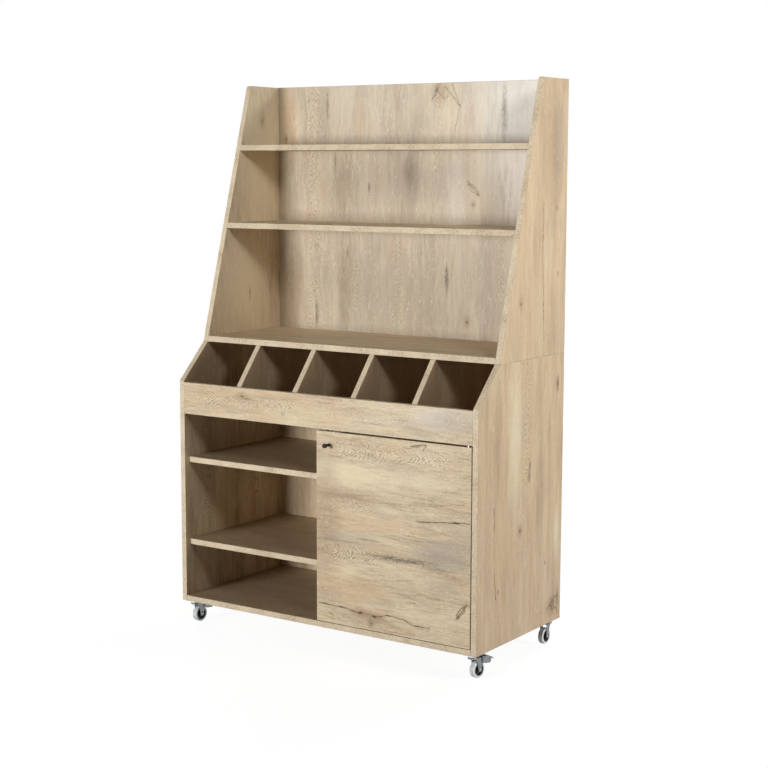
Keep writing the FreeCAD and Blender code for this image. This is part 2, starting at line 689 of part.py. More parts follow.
def bin_divider(number):
    """A divider between two bins, from the front board back to the panel."""
    x_low = divider_left(number)
    corners = [
        (DOOR_BACK, BIN_TOP, 0),
        (PANEL_FRONT, BIN_TOP, 0),
        (PANEL_FRONT, SEAM, 0),
        (SEAM_FRONT, SEAM, 0),
        (DOOR_BACK, FRONT_BOARD_TOP, 0),
    ]
    return across_x(corners, x_low, x_low + BOARD)


def boards():
    """Every board before its holes are cut."""
    shelf_low = INNER_LEFT + SHELF_PLAY
    shelf_high = PARTITION_LEFT - SHELF_PLAY
    shelf_front = FRONT + INNER_SETBACK
    made = {
        "base_side_left": base_side(LEFT),
        "base_side_right": base_side(INNER_RIGHT),
        "bottom_board": block(INNER_LEFT, INNER_RIGHT, FRONT, BACK, UNDERSIDE, FLOOR_TOP),
        "bin_floor": block(
            INNER_LEFT, INNER_RIGHT, DOOR_BACK, PANEL_FRONT, BIN_UNDERSIDE, BIN_TOP
        ),
        "front_board": block(
            INNER_LEFT, INNER_RIGHT, FRONT, DOOR_BACK, BIN_UNDERSIDE, FRONT_BOARD_TOP
        ),
        "base_back_panel": block(INNER_LEFT, INNER_RIGHT, PANEL_FRONT, BACK, FLOOR_TOP, SEAM),
        "partition": block(
            PARTITION_LEFT, PARTITION_RIGHT, shelf_front, PANEL_FRONT, FLOOR_TOP, BIN_UNDERSIDE
        ),
        "open_shelf_upper": block(
            shelf_low, shelf_high, shelf_front, PANEL_FRONT,
            UPPER_OPEN_SHELF, UPPER_OPEN_SHELF + BOARD,
        ),
        "open_shelf_lower": block(
            shelf_low, shelf_high, shelf_front, PANEL_FRONT,
            LOWER_OPEN_SHELF, LOWER_OPEN_SHELF + BOARD,
        ),
        "cupboard_shelf": block(
            PARTITION_RIGHT + SHELF_PLAY, INNER_RIGHT - SHELF_PLAY,
            CUPBOARD_SHELF_FRONT, PANEL_FRONT, CUPBOARD_SHELF, CUPBOARD_SHELF + BOARD,
        ),
        "hutch_side_left": hutch_side(LEFT),
        "hutch_side_right": hutch_side(INNER_RIGHT),
        "worktop": hutch_board(SEAM),
        "hutch_shelf_lower": hutch_board(SEAM + LOWER_SHELF_RISE),
        "hutch_shelf_upper": hutch_board(SEAM + UPPER_SHELF_RISE),
        "hutch_back_panel": block(INNER_LEFT, INNER_RIGHT, PANEL_FRONT, BACK, SEAM, HUTCH_TOP),
        "door": block(DOOR_LEFT, DOOR_RIGHT, FRONT, DOOR_BACK, DOOR_BOTTOM, DOOR_TOP),
    }
    for number in range(1, BIN_COUNT):
        made[f"bin_divider_{number}"] = bin_divider(number)
    return made


# ---------------------------------------------------------------- casters
# A caster is drawn with its kingpin on the Z axis: the wheel trails along +X, its axle
# lies along Y. It is then turned by its swivel angle and moved under its corner.
def caster_plate():
    """The top plate with its raceway, kingpin and rivet head."""
    half = PLATE_SIZE / 2
    corners = [
        (sx * half, sy * half, PLATE_CORNER) for sx, sy in ((-1, -1), (1, -1), (1, 1), (-1, 1))
    ]
    plate_low = CASTER_HEIGHT - PLATE_THICKNESS
    plate = upright(corners, plate_low, CASTER_HEIGHT)
    spacing = PLATE_HOLE_SPACING / 2
    holes = [
        rod((sx * spacing, sy * spacing, plate_low), (0, 0, 1), SCREW_RADIUS + FIT, PLATE_THICKNESS)
        for sx in (-1, 1)
        for sy in (-1, 1)
    ]
    rivet_bottom = RIVET_TOP - RIVET_HEAD_HEIGHT
    profile = [
        (0, rivet_bottom),
        (RIVET_HEAD_RADIUS / 2, rivet_bottom),
        (RIVET_HEAD_RADIUS, rivet_bottom + RIVET_HEAD_HEIGHT * 2 / 3),
        (RIVET_HEAD_RADIUS, RIVET_TOP),
        (KINGPIN_RADIUS, RIVET_TOP),
        (KINGPIN_RADIUS, RACEWAY_BOTTOM),
        (RACEWAY_RADIUS - RACEWAY_SHOULDER, RACEWAY_BOTTOM),
        (RACEWAY_RADIUS, RACEWAY_BOTTOM + RACEWAY_SHOULDER),
        (RACEWAY_RADIUS, plate_low - RACEWAY_SHOULDER),
        (RACEWAY_RADIUS - RACEWAY_NECK, plate_low),
        (0, plate_low),
    ]
    return joined([plate.cut(holes), turned(profile, (0, 0, 0), (0, 0, 1))])


def caster_fork(braked):
    """The fork: a crown with a lower raceway cup, and two legs down to the axle."""
    crown_corners = [
        (-FORK_NOSE, -FORK_OUTER, CROWN_CORNER),
        (FORK_HEEL, -FORK_OUTER, CROWN_CORNER),
        (FORK_HEEL, FORK_OUTER, CROWN_CORNER),
        (-FORK_NOSE, FORK_OUTER, CROWN_CORNER),
    ]
    crown = upright(crown_corners, CROWN_BOTTOM, CROWN_TOP)
    cup_top = CROWN_TOP + LOWER_CUP_HEIGHT
    cup = turned(
        [
            (0, CROWN_BOTTOM),
            (LOWER_CUP_RADIUS, CROWN_BOTTOM),
            (LOWER_CUP_RADIUS, cup_top - CUP_CHAMFER),
            (LOWER_CUP_RADIUS - CUP_CHAMFER, cup_top),
            (0, cup_top),
        ],
        (0, 0, 0),
        (0, 0, 1),
    )
    end = LEG_END_RADIUS
    heel = PEDAL_PIVOT_S + PEDAL_EAR_REACH if braked else FORK_HEEL
    heel_z = PEDAL_PIVOT_Z + PEDAL_EAR_RISE if braked else CROWN_BOTTOM - PLAIN_HEEL_DROP
    leg_top = CROWN_TOP - LEG_SHOULDER
    leg_corners = [
        (LEG_TOP_FRONT, leg_top, 0),
        (LEG_WAIST_FRONT, CROWN_TOP - LEG_WAIST_DROP, end),
        (CASTER_TRAIL - end, WHEEL_RADIUS - end, end * 0.9),
        (CASTER_TRAIL + end, WHEEL_RADIUS - end, end * 0.9),
        (CASTER_TRAIL + end, WHEEL_RADIUS + end, CROWN_CORNER),
        (heel, heel_z - LEG_HEEL_HEIGHT, CROWN_CORNER),
        (heel, heel_z, CROWN_CORNER),
        (FORK_HEEL - LEG_SHOULDER, leg_top, LEG_SHOULDER),
    ]
    legs = [
        across_y(leg_corners, FORK_INNER, FORK_OUTER),
        across_y(leg_corners, -FORK_OUTER, -FORK_INNER),
    ]
    reach = 3 * FORK_OUTER
    holes = [
        rod((0, 0, CROWN_BOTTOM), (0, 0, 1), KINGPIN_RADIUS + PIN_FIT, cup_top - CROWN_BOTTOM),
        rod(
            (CASTER_TRAIL, -reach / 2, WHEEL_RADIUS), (0, 1, 0), AXLE_RADIUS + PIN_FIT, reach
        ),
    ]
    if braked:
        holes.append(
            rod(
                (PEDAL_PIVOT_S, -reach / 2, PEDAL_PIVOT_Z), (0, 1, 0),
                PEDAL_PIN_RADIUS + PIN_FIT, reach,
            )
        )
    return joined([crown, cup] + legs).cut(holes)


def wheel_hub():
    """The moulded hub: a boss, a web with ribs and the rim under the tyre."""
    rim = WHEEL_RADIUS - TYRE_THICKNESS
    boss = HUB_BOSS_WIDTH / 2
    half = HUB_WIDTH / 2
    web = HUB_WEB / 2
    bore = AXLE_RADIUS + PIN_FIT
    profile = [
        (bore, -boss),
        (HUB_BOSS_RADIUS - HUB_CHAMFER, -boss),
        (HUB_BOSS_RADIUS, -boss + HUB_CHAMFER),
        (HUB_BOSS_RADIUS + HUB_DRAFT, -web),
        (rim - HUB_RIM - HUB_DRAFT, -web),
        (rim - HUB_RIM, -half),
        (rim, -half),
        (rim, half),
        (rim - HUB_RIM, half),
        (rim - HUB_RIM - HUB_DRAFT, web),
        (HUB_BOSS_RADIUS + HUB_DRAFT, web),
        (HUB_BOSS_RADIUS, boss - HUB_CHAMFER),
        (HUB_BOSS_RADIUS - HUB_CHAMFER, boss),
        (bore, boss),
    ]
    body = turned(profile, (CASTER_TRAIL, 0, WHEEL_RADIUS), (0, 1, 0))
    ribs = []
    rib_half = half - HUB_RIB_INSET
    for number in range(HUB_RIBS):
        rib = block(
            HUB_BOSS_RADIUS - HUB_CHAMFER, rim - HUB_RIM / 2, -rib_half, rib_half,
            -HUB_RIB_THICKNESS / 2, HUB_RIB_THICKNESS / 2,
        )
        rib.rotate(Vector(0, 0, 0), Vector(0, 1, 0), number * 360.0 / HUB_RIBS)
        rib.translate(Vector(CASTER_TRAIL, 0, WHEEL_RADIUS))
        ribs.append(rib)
    return joined([body] + ribs)


def tyre():
    """The soft tread ring, round at its shoulders."""
    inner = WHEEL_RADIUS - TYRE_THICKNESS + FIT
    half = TYRE_WIDTH / 2
    section = outline(
        [
            (Vector(inner, 0, -half), 0),
            (Vector(WHEEL_RADIUS, 0, -half), TYRE_ROUNDING),
            (Vector(WHEEL_RADIUS, 0, half), TYRE_ROUNDING),
            (Vector(inner, 0, half), 0),
        ]
    )
    ring = Part.Face(section).revolve(Vector(0, 0, 0), Vector(0, 0, 1), 360)
    ring.Placement = FreeCAD.Placement(
        Vector(CASTER_TRAIL, 0, WHEEL_RADIUS),
        FreeCAD.Rotation(Vector(0, 0, 1), Vector(0, 1, 0)),
    )
    return ring


def axle():
    """The axle rivet through both legs, with a head on each side."""
    leg = FORK_OUTER + FIT
    end = leg + AXLE_HEAD_HEIGHT
    profile = [
        (0, -end),
        (AXLE_HEAD_RADIUS - AXLE_HEAD_CHAMFER, -end),
        (AXLE_HEAD_RADIUS, -end + AXLE_HEAD_CHAMFER),
        (AXLE_HEAD_RADIUS, -leg),
        (AXLE_RADIUS, -leg),
        (AXLE_RADIUS, leg),
        (AXLE_HEAD_RADIUS, leg),
        (AXLE_HEAD_RADIUS, end - AXLE_HEAD_CHAMFER),
        (AXLE_HEAD_RADIUS - AXLE_HEAD_CHAMFER, end),
        (0, end),
    ]
    return turned(profile, (CASTER_TRAIL, 0, WHEEL_RADIUS), (0, 1, 0))


def brake_pedal():
    """The brake pedal: a bent tread with side flanges, its pin and the shoe over the tyre."""
    inner = FORK_OUTER + PEDAL_SIDE_GAP
    outer = inner + PEDAL_SHEET
    root = PEDAL_PIVOT_S - PEDAL_ROOT_AHEAD
    root_z = CROWN_TOP + PEDAL_RISE
    tip = CASTER_TRAIL + PEDAL_REACH
    tip_z = root_z - PEDAL_DROP
    knee = root + PEDAL_KNEE
    sheet = PEDAL_SHEET
    bend = PEDAL_KNEE / 2
    tread_corners = [
        (root, root_z, 0),
        (knee, root_z, bend),
        (tip, tip_z, 0),
        (tip - sheet / 2, tip_z - sheet, 0),
        (knee - sheet / 4, root_z - sheet, bend - sheet),
        (root, root_z - sheet, 0),
    ]
    tread = across_y(tread_corners, -outer, outer)
    planform = upright(
        [
            (root, -outer, 0),
            (tip, -outer, PEDAL_TIP_ROUNDING),
            (tip, outer, PEDAL_TIP_ROUNDING),
            (root, outer, 0),
        ],
        tip_z - 2 * sheet,
        root_z + sheet,
    )
    tread = tread.common(planform)
    flange_end = CASTER_TRAIL + FLANGE_REACH
    flange_top_end = (tip + knee) / 2
    ahead, behind = FLANGE_UNDER_PIN
    flange_corners = [
        (root, root_z, 0),
        (root, PEDAL_PIVOT_Z - ahead, ahead - sheet / 4),
        (PEDAL_PIVOT_S + PEDAL_EAR_REACH, PEDAL_PIVOT_Z - behind, ahead),
        (flange_end, root_z - FLANGE_DEPTH, CROWN_CORNER),
        (flange_top_end, (root_z + tip_z - sheet) / 2, 0),
        (knee, root_z - sheet / 2, ahead),
        (knee - bend / 2, root_z, 0),
    ]
    flanges = [
        across_y(flange_corners, inner, outer),
        across_y(flange_corners, -outer, -inner),
    ]
    pin_end = outer + PEDAL_PIN_PROUD
    pin_start = (PEDAL_PIVOT_S, -pin_end, PEDAL_PIVOT_Z)
    pin = rod(pin_start, (0, 1, 0), PEDAL_PIN_RADIUS, 2 * pin_end)
    shoe_s = PEDAL_PIVOT_S + SHOE_BACK
    shoe_z = PEDAL_PIVOT_Z - SHOE_DOWN
    shoe = rod((shoe_s, -SHOE_WIDTH / 2, shoe_z), (0, 1, 0), SHOE_RADIUS, SHOE_WIDTH)
    web = block(
        shoe_s - sheet / 2, shoe_s + sheet / 2, -SHOE_WIDTH / 2, SHOE_WIDTH / 2,
        shoe_z, root_z - sheet / 2,
    )
    return joined([tread, pin, shoe, web] + flanges)


def casters():
    """The four casters, each piece under its own name."""
    corners = {
        "fl": (LEFT + CASTER_INSET_X, FRONT + CASTER_INSET_Y, True),
        "fr": (RIGHT - CASTER_INSET_X, FRONT + CASTER_INSET_Y, True),
        "rl": (LEFT + CASTER_INSET_X, BACK - CASTER_INSET_Y, False),
        "rr": (RIGHT - CASTER_INSET_X, BACK - CASTER_INSET_Y, False),
    }
    made = {}
    spacing = PLATE_HOLE_SPACING / 2
    for corner, (x, y, braked) in corners.items():
        turning = {
            f"fork_{corner}": caster_fork(braked),
            f"wheel_hub_{corner}": wheel_hub(),
            f"tyre_{corner}": tyre(),
            f"axle_{corner}": axle(),
        }
        if braked:
            turning[f"brake_pedal_{corner}"] = brake_pedal()
        for name, shape in turning.items():
            shape.rotate(Vector(0, 0, 0), Vector(0, 0, 1), 90.0 - SWIVEL_ANGLES[corner])
            shape.translate(Vector(x, y, 0))
            made[name] = shape
        plate = caster_plate()
        plate.translate(Vector(x, y, 0))
        made[f"caster_plate_{corner}"] = plate
        side = "base_side_left" if x < 0 else "base_side_right"
        for sx in (-1, 1):
            for sy in (-1, 1):
                head = (x + sx * spacing, y + sy * spacing, UNDERSIDE - PLATE_THICKNESS)
                fixings.screw(
                    "caster_screws", head, (0, 0, 1), PLATE_SCREW_LENGTH, ["bottom_board", side]
                )
    return made


# ---------------------------------------------------------------- the whole cabinet
def build():
    """Every node by name, as a list of its solids."""
    lay_out_fixings()
    bottom_pin, top_pin, bushes = pivots()
    nodes = {
        "hutch_brackets": hutch_brackets(),
        "magnetic_catch": [magnetic_catch()],
        "strike_plate": [strike_plate()],
        "door_knob": [knob()],
        "pivot_pin_bottom": [bottom_pin],
        "pivot_pin_top": [top_pin],
        "pivot_bushes": bushes,
    }
    for name, shape in casters().items():
        nodes[name] = [shape]
    for name, shape in boards().items():
        nodes[name] = [without(shape, fixings.holes.get(name, []))]
    nodes.update(fixings.solids)
    return nodes


def main():
    os.makedirs("parts", exist_ok=True)
    for name, shapes in build().items():
        solids = [solid for shape in shapes for solid in shape.Solids]
        node = solids[0] if len(solids) == 1 else Part.makeCompound(solids)
        node.exportStep(f"parts/{name}.step")
        print(f"{name:20s} {len(solids):3d} solid(s) {node.Volume / 1000:10.2f} cm3")


main()
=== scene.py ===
"""Finished pieces, surfaces, light and camera of a condiment station cabinet.

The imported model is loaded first, as a fixed frame in metres: +X to the right seen from the
front, -Y to the front, +Z up. Boards and small fittings are finished around it.
"""

import json
import math

import bmesh
import bpy
from mathutils import Matrix, Vector

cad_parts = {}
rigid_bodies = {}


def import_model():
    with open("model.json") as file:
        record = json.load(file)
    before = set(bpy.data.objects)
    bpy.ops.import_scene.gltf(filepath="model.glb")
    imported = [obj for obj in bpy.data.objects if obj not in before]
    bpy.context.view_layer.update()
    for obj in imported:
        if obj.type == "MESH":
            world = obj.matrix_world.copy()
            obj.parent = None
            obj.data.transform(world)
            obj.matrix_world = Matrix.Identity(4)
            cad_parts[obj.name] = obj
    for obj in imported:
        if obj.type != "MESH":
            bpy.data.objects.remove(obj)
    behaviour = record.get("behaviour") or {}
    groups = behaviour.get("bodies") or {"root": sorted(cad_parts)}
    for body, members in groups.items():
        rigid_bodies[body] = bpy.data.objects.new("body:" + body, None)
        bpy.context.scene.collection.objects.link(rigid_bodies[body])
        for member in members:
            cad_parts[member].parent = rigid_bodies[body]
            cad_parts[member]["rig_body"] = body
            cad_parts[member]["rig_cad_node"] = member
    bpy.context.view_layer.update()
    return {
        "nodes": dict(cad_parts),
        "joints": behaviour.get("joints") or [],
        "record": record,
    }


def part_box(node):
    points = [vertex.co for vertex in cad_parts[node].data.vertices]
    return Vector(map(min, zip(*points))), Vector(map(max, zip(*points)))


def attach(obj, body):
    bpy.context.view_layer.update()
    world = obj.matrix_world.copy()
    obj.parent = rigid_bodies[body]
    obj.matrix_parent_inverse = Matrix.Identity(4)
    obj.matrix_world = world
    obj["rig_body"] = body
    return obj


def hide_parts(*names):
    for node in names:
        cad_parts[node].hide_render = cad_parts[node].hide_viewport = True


bl_info = {
    "name": "Condiment Station Cabinet",
    "version": (1, 0, 0),
    "blender": (4, 5, 0),
    "location": "3D View > Sidebar > Cabinet",
    "description": "Makes the boards, fittings, casters and stage of a condiment station cabinet",
    "category": "Object",
}

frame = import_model()

MM = 0.001
WELD = 0.001 * MM
X, Y, Z = range(3)


# ---- settings
def paint(*rgb):
    """A linear colour with alpha, from screen values of 0 to 255."""
    shares = [value / 255 for value in rgb]
    linear = [s / 12.92 if s <= 0.04045 else ((s + 0.055) / 1.055) ** 2.4 for s in shares]
    return (*linear, 1.0)


def colour_setting(name, description, rgb):
    """A colour that a user may change."""
    return bpy.props.FloatVectorProperty(
        name=name, description=description, default=paint(*rgb), size=4,
        min=0.0, max=1.0, subtype="COLOR",
    )


def number_setting(name, description, default, low, high=1e6, **kind):
    """A size, power or strength that a user may change."""
    return bpy.props.FloatProperty(
        name=name, description=description, default=default, min=low, max=high, **kind
    )


class CABINET_PG_boards(bpy.types.PropertyGroup):
    """Colours of the oak print and the rounding of the boards."""

    pale: colour_setting("Pale grain", "Lightest tone of the oak print", (225, 208, 175))
    middle: colour_setting("Middle grain", "Main tone of the oak print", (204, 184, 152))
    brown: colour_setting("Brown grain", "Darkest tone of the plain grain", (156, 130, 100))
    warm: colour_setting("Warm bloom", "Reddish tone of some patches", (204, 174, 139))
    grey: colour_setting("Grey bloom", "Cool grey tone of some patches", (174, 160, 141))
    slate: colour_setting("Slate bloom", "Dark cool tone inside a grey patch", (149, 135, 115))
    white: colour_setting("White bloom", "Limed, nearly white patches", (227, 222, 213))
    lime: colour_setting("Limed pores", "Short pale strokes along the grain", (230, 221, 199))
    crack: colour_setting("Cracks", "Cracks, knots and deep pores", (79, 55, 35))
    band: colour_setting("Edge band", "Main tone of the edge bands", (205, 188, 160))
    rounding: number_setting(
        "Edge rounding", "Rounding of the long edges of a board",
        0.9 * MM, 0.1 * MM, 2 * MM, unit="LENGTH",
    )


class CABINET_PG_fittings(bpy.types.PropertyGroup):
    """Colours of the metal, plastic and rubber pieces."""

    zinc: colour_setting("Zinc", "Zinc-plated steel", (165, 169, 169))
    steel: colour_setting("Dark steel", "Forks and pedals of the casters", (130, 135, 136))
    black: colour_setting("Black", "Satin black of the knob", (13, 12, 12))
    white: colour_setting("White plastic", "Bushes", (226, 226, 222))
    hub: colour_setting("Hub", "Moulded hub of a wheel", (34, 34, 36))
    tread: colour_setting("Tread", "Running face of a wheel", (196, 198, 197))
    wall: colour_setting("Tyre wall", "Side faces of a wheel's soft ring", (240, 240, 238))
    beech: colour_setting("Beech", "Wooden dowels", (205, 170, 126))
    rounding: number_setting(
        "Sheet rounding", "Rounding of pressed steel and moulded edges",
        0.3 * MM, 0.05 * MM, 1 * MM, unit="LENGTH",
    )


class CABINET_PG_stage(bpy.types.PropertyGroup):
    """Light, floor and camera."""

    key: number_setting("Key light", "Power of the large lamp in front", 241, 0, unit="POWER")
    side: number_setting("Side light", "Power of the lamp at the right side", 147, 0, unit="POWER")
    hutch: number_setting("Hutch light", "Power of the lamp by the hutch", 3.9, 0, unit="POWER")
    behind: number_setting("Back light", "Power of the lamp far behind", 190, 0, unit="POWER")
    above: number_setting("Top light", "Power of the lamp high up behind", 55, 0, unit="POWER")
    ambient: number_setting("Ambient", "Strength of the even light", 0.03, 0, 1, subtype="FACTOR")
    floor: colour_setting("Floor", "Colour of the floor", (184, 184, 184))
    lens: number_setting("Lens", "Focal length on a 36 mm sensor", 76.054, 10, unit="CAMERA")


# ---- shader wires
class Wire:
    """A socket in a material's node tree, which sums and other nodes can start from."""

    def __init__(self, tree, socket):
        self.tree = tree
        self.socket = socket

    def node(self, kind, settings=None, sockets=None, output=0):
        """One output of a new node, its settings made before its sockets are filled."""
        made = self.tree.nodes.new(kind)
        for setting, value in (settings or {}).items():
            if setting == "stops":
                stops = made.color_ramp.elements
                for index, (place, colour) in enumerate(value):
                    stop = stops[index] if index < 2 else stops.new(place)
                    stop.position = place
                    stop.color = colour
            else:
                setattr(made, setting, value)
        for socket, value in (sockets or {}).items():
            if isinstance(value, Wire):
                self.tree.links.new(value.socket, made.inputs[socket])
            else:
                made.inputs[socket].default_value = value
        return Wire(self.tree, made.outputs[output]) if made.outputs else None

    def math(self, operation, *others):
        """A Math node that starts from this wire."""
        values = dict(enumerate((self, *others)))
        return self.node("ShaderNodeMath", {"operation": operation}, values)

    def __add__(self, other):
        return self.math("ADD", other)

    __radd__ = __add__

    def __sub__(self, other):
        return self.math("SUBTRACT", other)

    def __rsub__(self, other):
        return self.node("ShaderNodeMath", {"operation": "SUBTRACT"}, {0: other, 1: self})

    def __mul__(self, other):
        return self.math("MULTIPLY", other)

    __rmul__ = __mul__

    def __truediv__(self, other):
        return self.math("DIVIDE", other)

    def __abs__(self):
        return self.math("ABSOLUTE")

    def clipped(self):
        """The value kept between 0 and 1."""
        return self.node("ShaderNodeClamp", None, {0: self})

    def step(self, low, high):
        """0 at low and 1 at high, smooth between; low may be the greater."""
        smoothly = {"interpolation_type": "SMOOTHSTEP"}
        return self.node("ShaderNodeMapRange", smoothly, {0: self, 1: low, 2: high})

    def ramp(self, *stops):
        """The colour at this value, between stops of place and colour."""
        return self.node("ShaderNodeValToRGB", {"stops": stops}, {0: self})

    def vector(self, operation, other=None, output=0):
        """A Vector Math node that starts from this wire."""
        sockets = {0: self}
        if other is not None:
            sockets[3 if operation == "SCALE" else 1] = other
        return self.node("ShaderNodeVectorMath", {"operation": operation}, sockets, output)

    def length(self):
        """The length of a vector."""
        return self.vector("LENGTH", output=1)

    def joined(self, *values):
        """A vector of up to three values."""
        return self.node("ShaderNodeCombineXYZ", None, dict(enumerate(values)))

    def mix(self, other, share):
        """This colour with a share of another."""
        return self.node("ShaderNodeMix", {"data_type": "RGBA"}, {0: share, 6: self, 7: other}, 2)

    def noise(self, stretch, detail=2.0, roughness=0.5, colour=False):
        """Smooth noise about 0, with features of the given lengths; colour gives a vector."""
        place = self.vector("DIVIDE", stretch)
        sockets = {"Vector": place, "Scale": 1.0, "Detail": detail, "Roughness": roughness}
        made = self.node("ShaderNodeTexNoise", None, sockets, "Color" if colour else "Fac")
        return made.vector("SUBTRACT", (0.5, 0.5, 0.5)) if colour else made - 0.5


def empty_tree(owner):
    """The node tree of a material or world, with nothing in it."""
    owner.use_nodes = True
    owner.node_tree.nodes.clear()
    return owner.node_tree


def new_material(name):
    """A new material's shader node, and a wire with the place on the piece in millimetres."""
    tree = empty_tree(bpy.data.materials.new(name))
    shader = tree.nodes.new("ShaderNodeBsdfPrincipled")
    output = tree.nodes.new("ShaderNodeOutputMaterial")
    tree.links.new(shader.outputs[0], output.inputs[0])
    place = Wire(tree, tree.nodes.new("ShaderNodeTexCoord").outputs["Object"])
    return shader, place.vector("SCALE", 1 / MM)


def feed(shader, colour, roughness, height, relief, **fixed):
    """Links what varies, with a relief in millimetres, and sets what is the same all over."""
    sockets = {"Strength": 1.0, "Distance": relief * MM, "Height": height}
    normal = height.node("ShaderNodeBump", None, sockets)
    for socket, wire in (("Base Color", colour), ("Roughness", roughness), ("Normal", normal)):
        shader.id_data.links.new(wire.socket, shader.inputs[socket])
    for socket, value in fixed.items():
        shader.inputs[socket.replace("_", " ")].default_value = value


def stock(name, maker, *values):
    """A material by name, made the first time that it is asked for."""
    if name not in bpy.data.materials:
        maker(name, *values)
    return bpy.data.materials[name]


# ---- oak print
class Print:
    """The oak print of one board while it is put together: place, colour and height wires."""

    def __init__(self, place, along, across, boards):
        parts = [place.node("ShaderNodeSeparateXYZ", None, {0: place}, axis) for axis in (X, Y, Z)]
        self.along = parts[along]
        self.across = parts[across]
        self.depth = parts[({X, Y, Z} - {along, across}).pop()]
        self.place = place.joined(self.along, self.across, self.depth)
        shake = self.place.noise((34, 9, 20), 3.0, colour=True).vector("MULTIPLY", (16, 9, 0))
        self.rough = place.joined(self.along, self.across).vector("ADD", shake)
        self.boards = boards
        self.colour = None
        self.height = None

    def cover(self, tone, share):
        """Covers the print with a share of one of the board colours."""
        self.colour = self.colour.mix(getattr(self.boards, tone), share)

    def oval(self, x, y, long, wide, tilt=0.0):
        """Distance from a centre, 1 at the ends of an oval, which may be tilted in degrees."""
        away = self.rough.vector("SUBTRACT", (x, y, 0))
        if tilt:
            away = away.node(
                "ShaderNodeVectorRotate", {"rotation_type": "Z_AXIS"},
                {"Vector": away, "Angle": -math.radians(tilt)},
            )
        return away.vector("DIVIDE", (long, wide, 1)).length()

    def line(self, points):
        """Distance in millimetres from a broken line."""
        nearest = None
        for start, end in zip(points, points[1:]):
            run = (end[0] - start[0], end[1] - start[1], 0)
            away = self.rough.vector("SUBTRACT", (*start, 0))
            dot = away.vector("DOT_PRODUCT", run, 1)
            share = (dot / (run[0] ** 2 + run[1] ** 2)).clipped()
            foot = away.node("ShaderNodeVectorMath", {"operation": "SCALE"}, {0: run, 3: share})
            distance = away.vector("SUBTRACT", foot).length()
            nearest = nearest.math("MINIMUM", distance) if nearest else distance
        return nearest

    def cloud(self, tone, x, y, long, wide, strength, depths=None):
        """A soft ragged patch of a board colour; it may fade between two depths of the board."""
        ragged = self.place.noise((60, 12, 30), 3.0) * 0.9
        mask = (self.oval(x, y, long, wide) + ragged).step(1.25, 0.15)
        if depths:
            mask = mask * self.depth.step(*depths)
        self.cover(tone, mask * strength)

    def smudge(self, x, y, long, wide, strength):
        """A dark ragged streak made of many short strokes."""
        strokes = self.place.noise((10, 3.2, 9), 3.0, 0.7)
        shape = self.oval(x, y, long, wide)
        dark = (shape * 0.5 + strokes * 2.4).step(0.55, -0.25) * shape.step(1.2, 0.6) * strength
        self.cover("slate", (shape + strokes * 1.6).step(1.3, 0.0) * strength * 0.75)
        self.cover("crack", dark * 0.75)
        self.height = self.height - dark * 0.4

    def crack(self, width, strength, *points):
        """A thin dark crack along a broken line, thicker and thinner by turns."""
        swell = self.place.noise((26, 26, 26), 2.0) * 2.2 + 1.0
        distance = self.line(points)
        mask = (distance / (swell * width)).step(1.0, 0.35) * strength
        self.cover("brown", distance.step(width * 6, 0) * 0.28 * strength)
        self.cover("crack", mask)
        self.height = self.height - mask * 0.9

    def knot(self, x, y, long, wide, tilt, strength):
        """A dark core in a browner oval, with fine rings round it."""
        distance = self.oval(x, y, long, wide, tilt)
        core = distance.step(0.55, 0.2) * strength
        rings = ((distance * 9).math("SINE") * 0.5 + 0.5) * distance.step(3.2, 0.8)
        self.cover("brown", distance.step(2.4, 0.5) * 0.55 * strength)
        self.cover("brown", rings * 0.35 * strength)
        self.cover("crack", core)
        self.height = self.height - core * 0.7

    def ring(self, x, y, long, wide, tilt, strength):
        """A knot of which only the dark rim shows."""
        distance = self.oval(x, y, long, wide, tilt)
        self.cover("brown", distance.step(1.3, 0.2) * 0.3 * strength)
        self.cover("crack", abs(distance - 0.8).step(0.24, 0.04) * strength * 0.75)

    def chevrons(self, middle, half, begin, end, pitch, strength):
        """A row of fine V-shaped hatches along the grain, from begin to end."""
        off = abs(self.across - middle + self.place.noise((140, 60, 60), 1.0) * 22)
        inside = self.along.step(begin - 24, begin + 24) * self.along.step(end + 24, end - 24)
        self.hatch(off, half, pitch, strength, inside)

    def hatch(self, off, half, pitch, strength, inside=1.0):
        """V-shaped hatches by distance off the row's middle line."""
        stagger = self.place.noise((34, 12, 14), 3.0, 0.6) * 3.7
        wave = ((self.along + off * 1.7) / pitch + stagger) * math.tau
        wave = wave.math("SINE") * 0.5 + 0.5
        patchy = self.place.noise((40, 12, 30), 3.0, 0.6).step(-0.14, 0.1)
        mask = off.step(half, half * 0.5) * patchy * strength * inside
        self.cover("brown", wave.step(0.5, 0.95) * mask * 0.8)
        self.cover("crack", wave.step(0.82, 1.0) * mask.step(0.5, 1.0) * 0.2)
        self.cover("pale", wave.step(0.4, 0.05) * mask * 0.75)
        self.height = self.height - wave.step(0.4, 1.0) * mask * 0.4


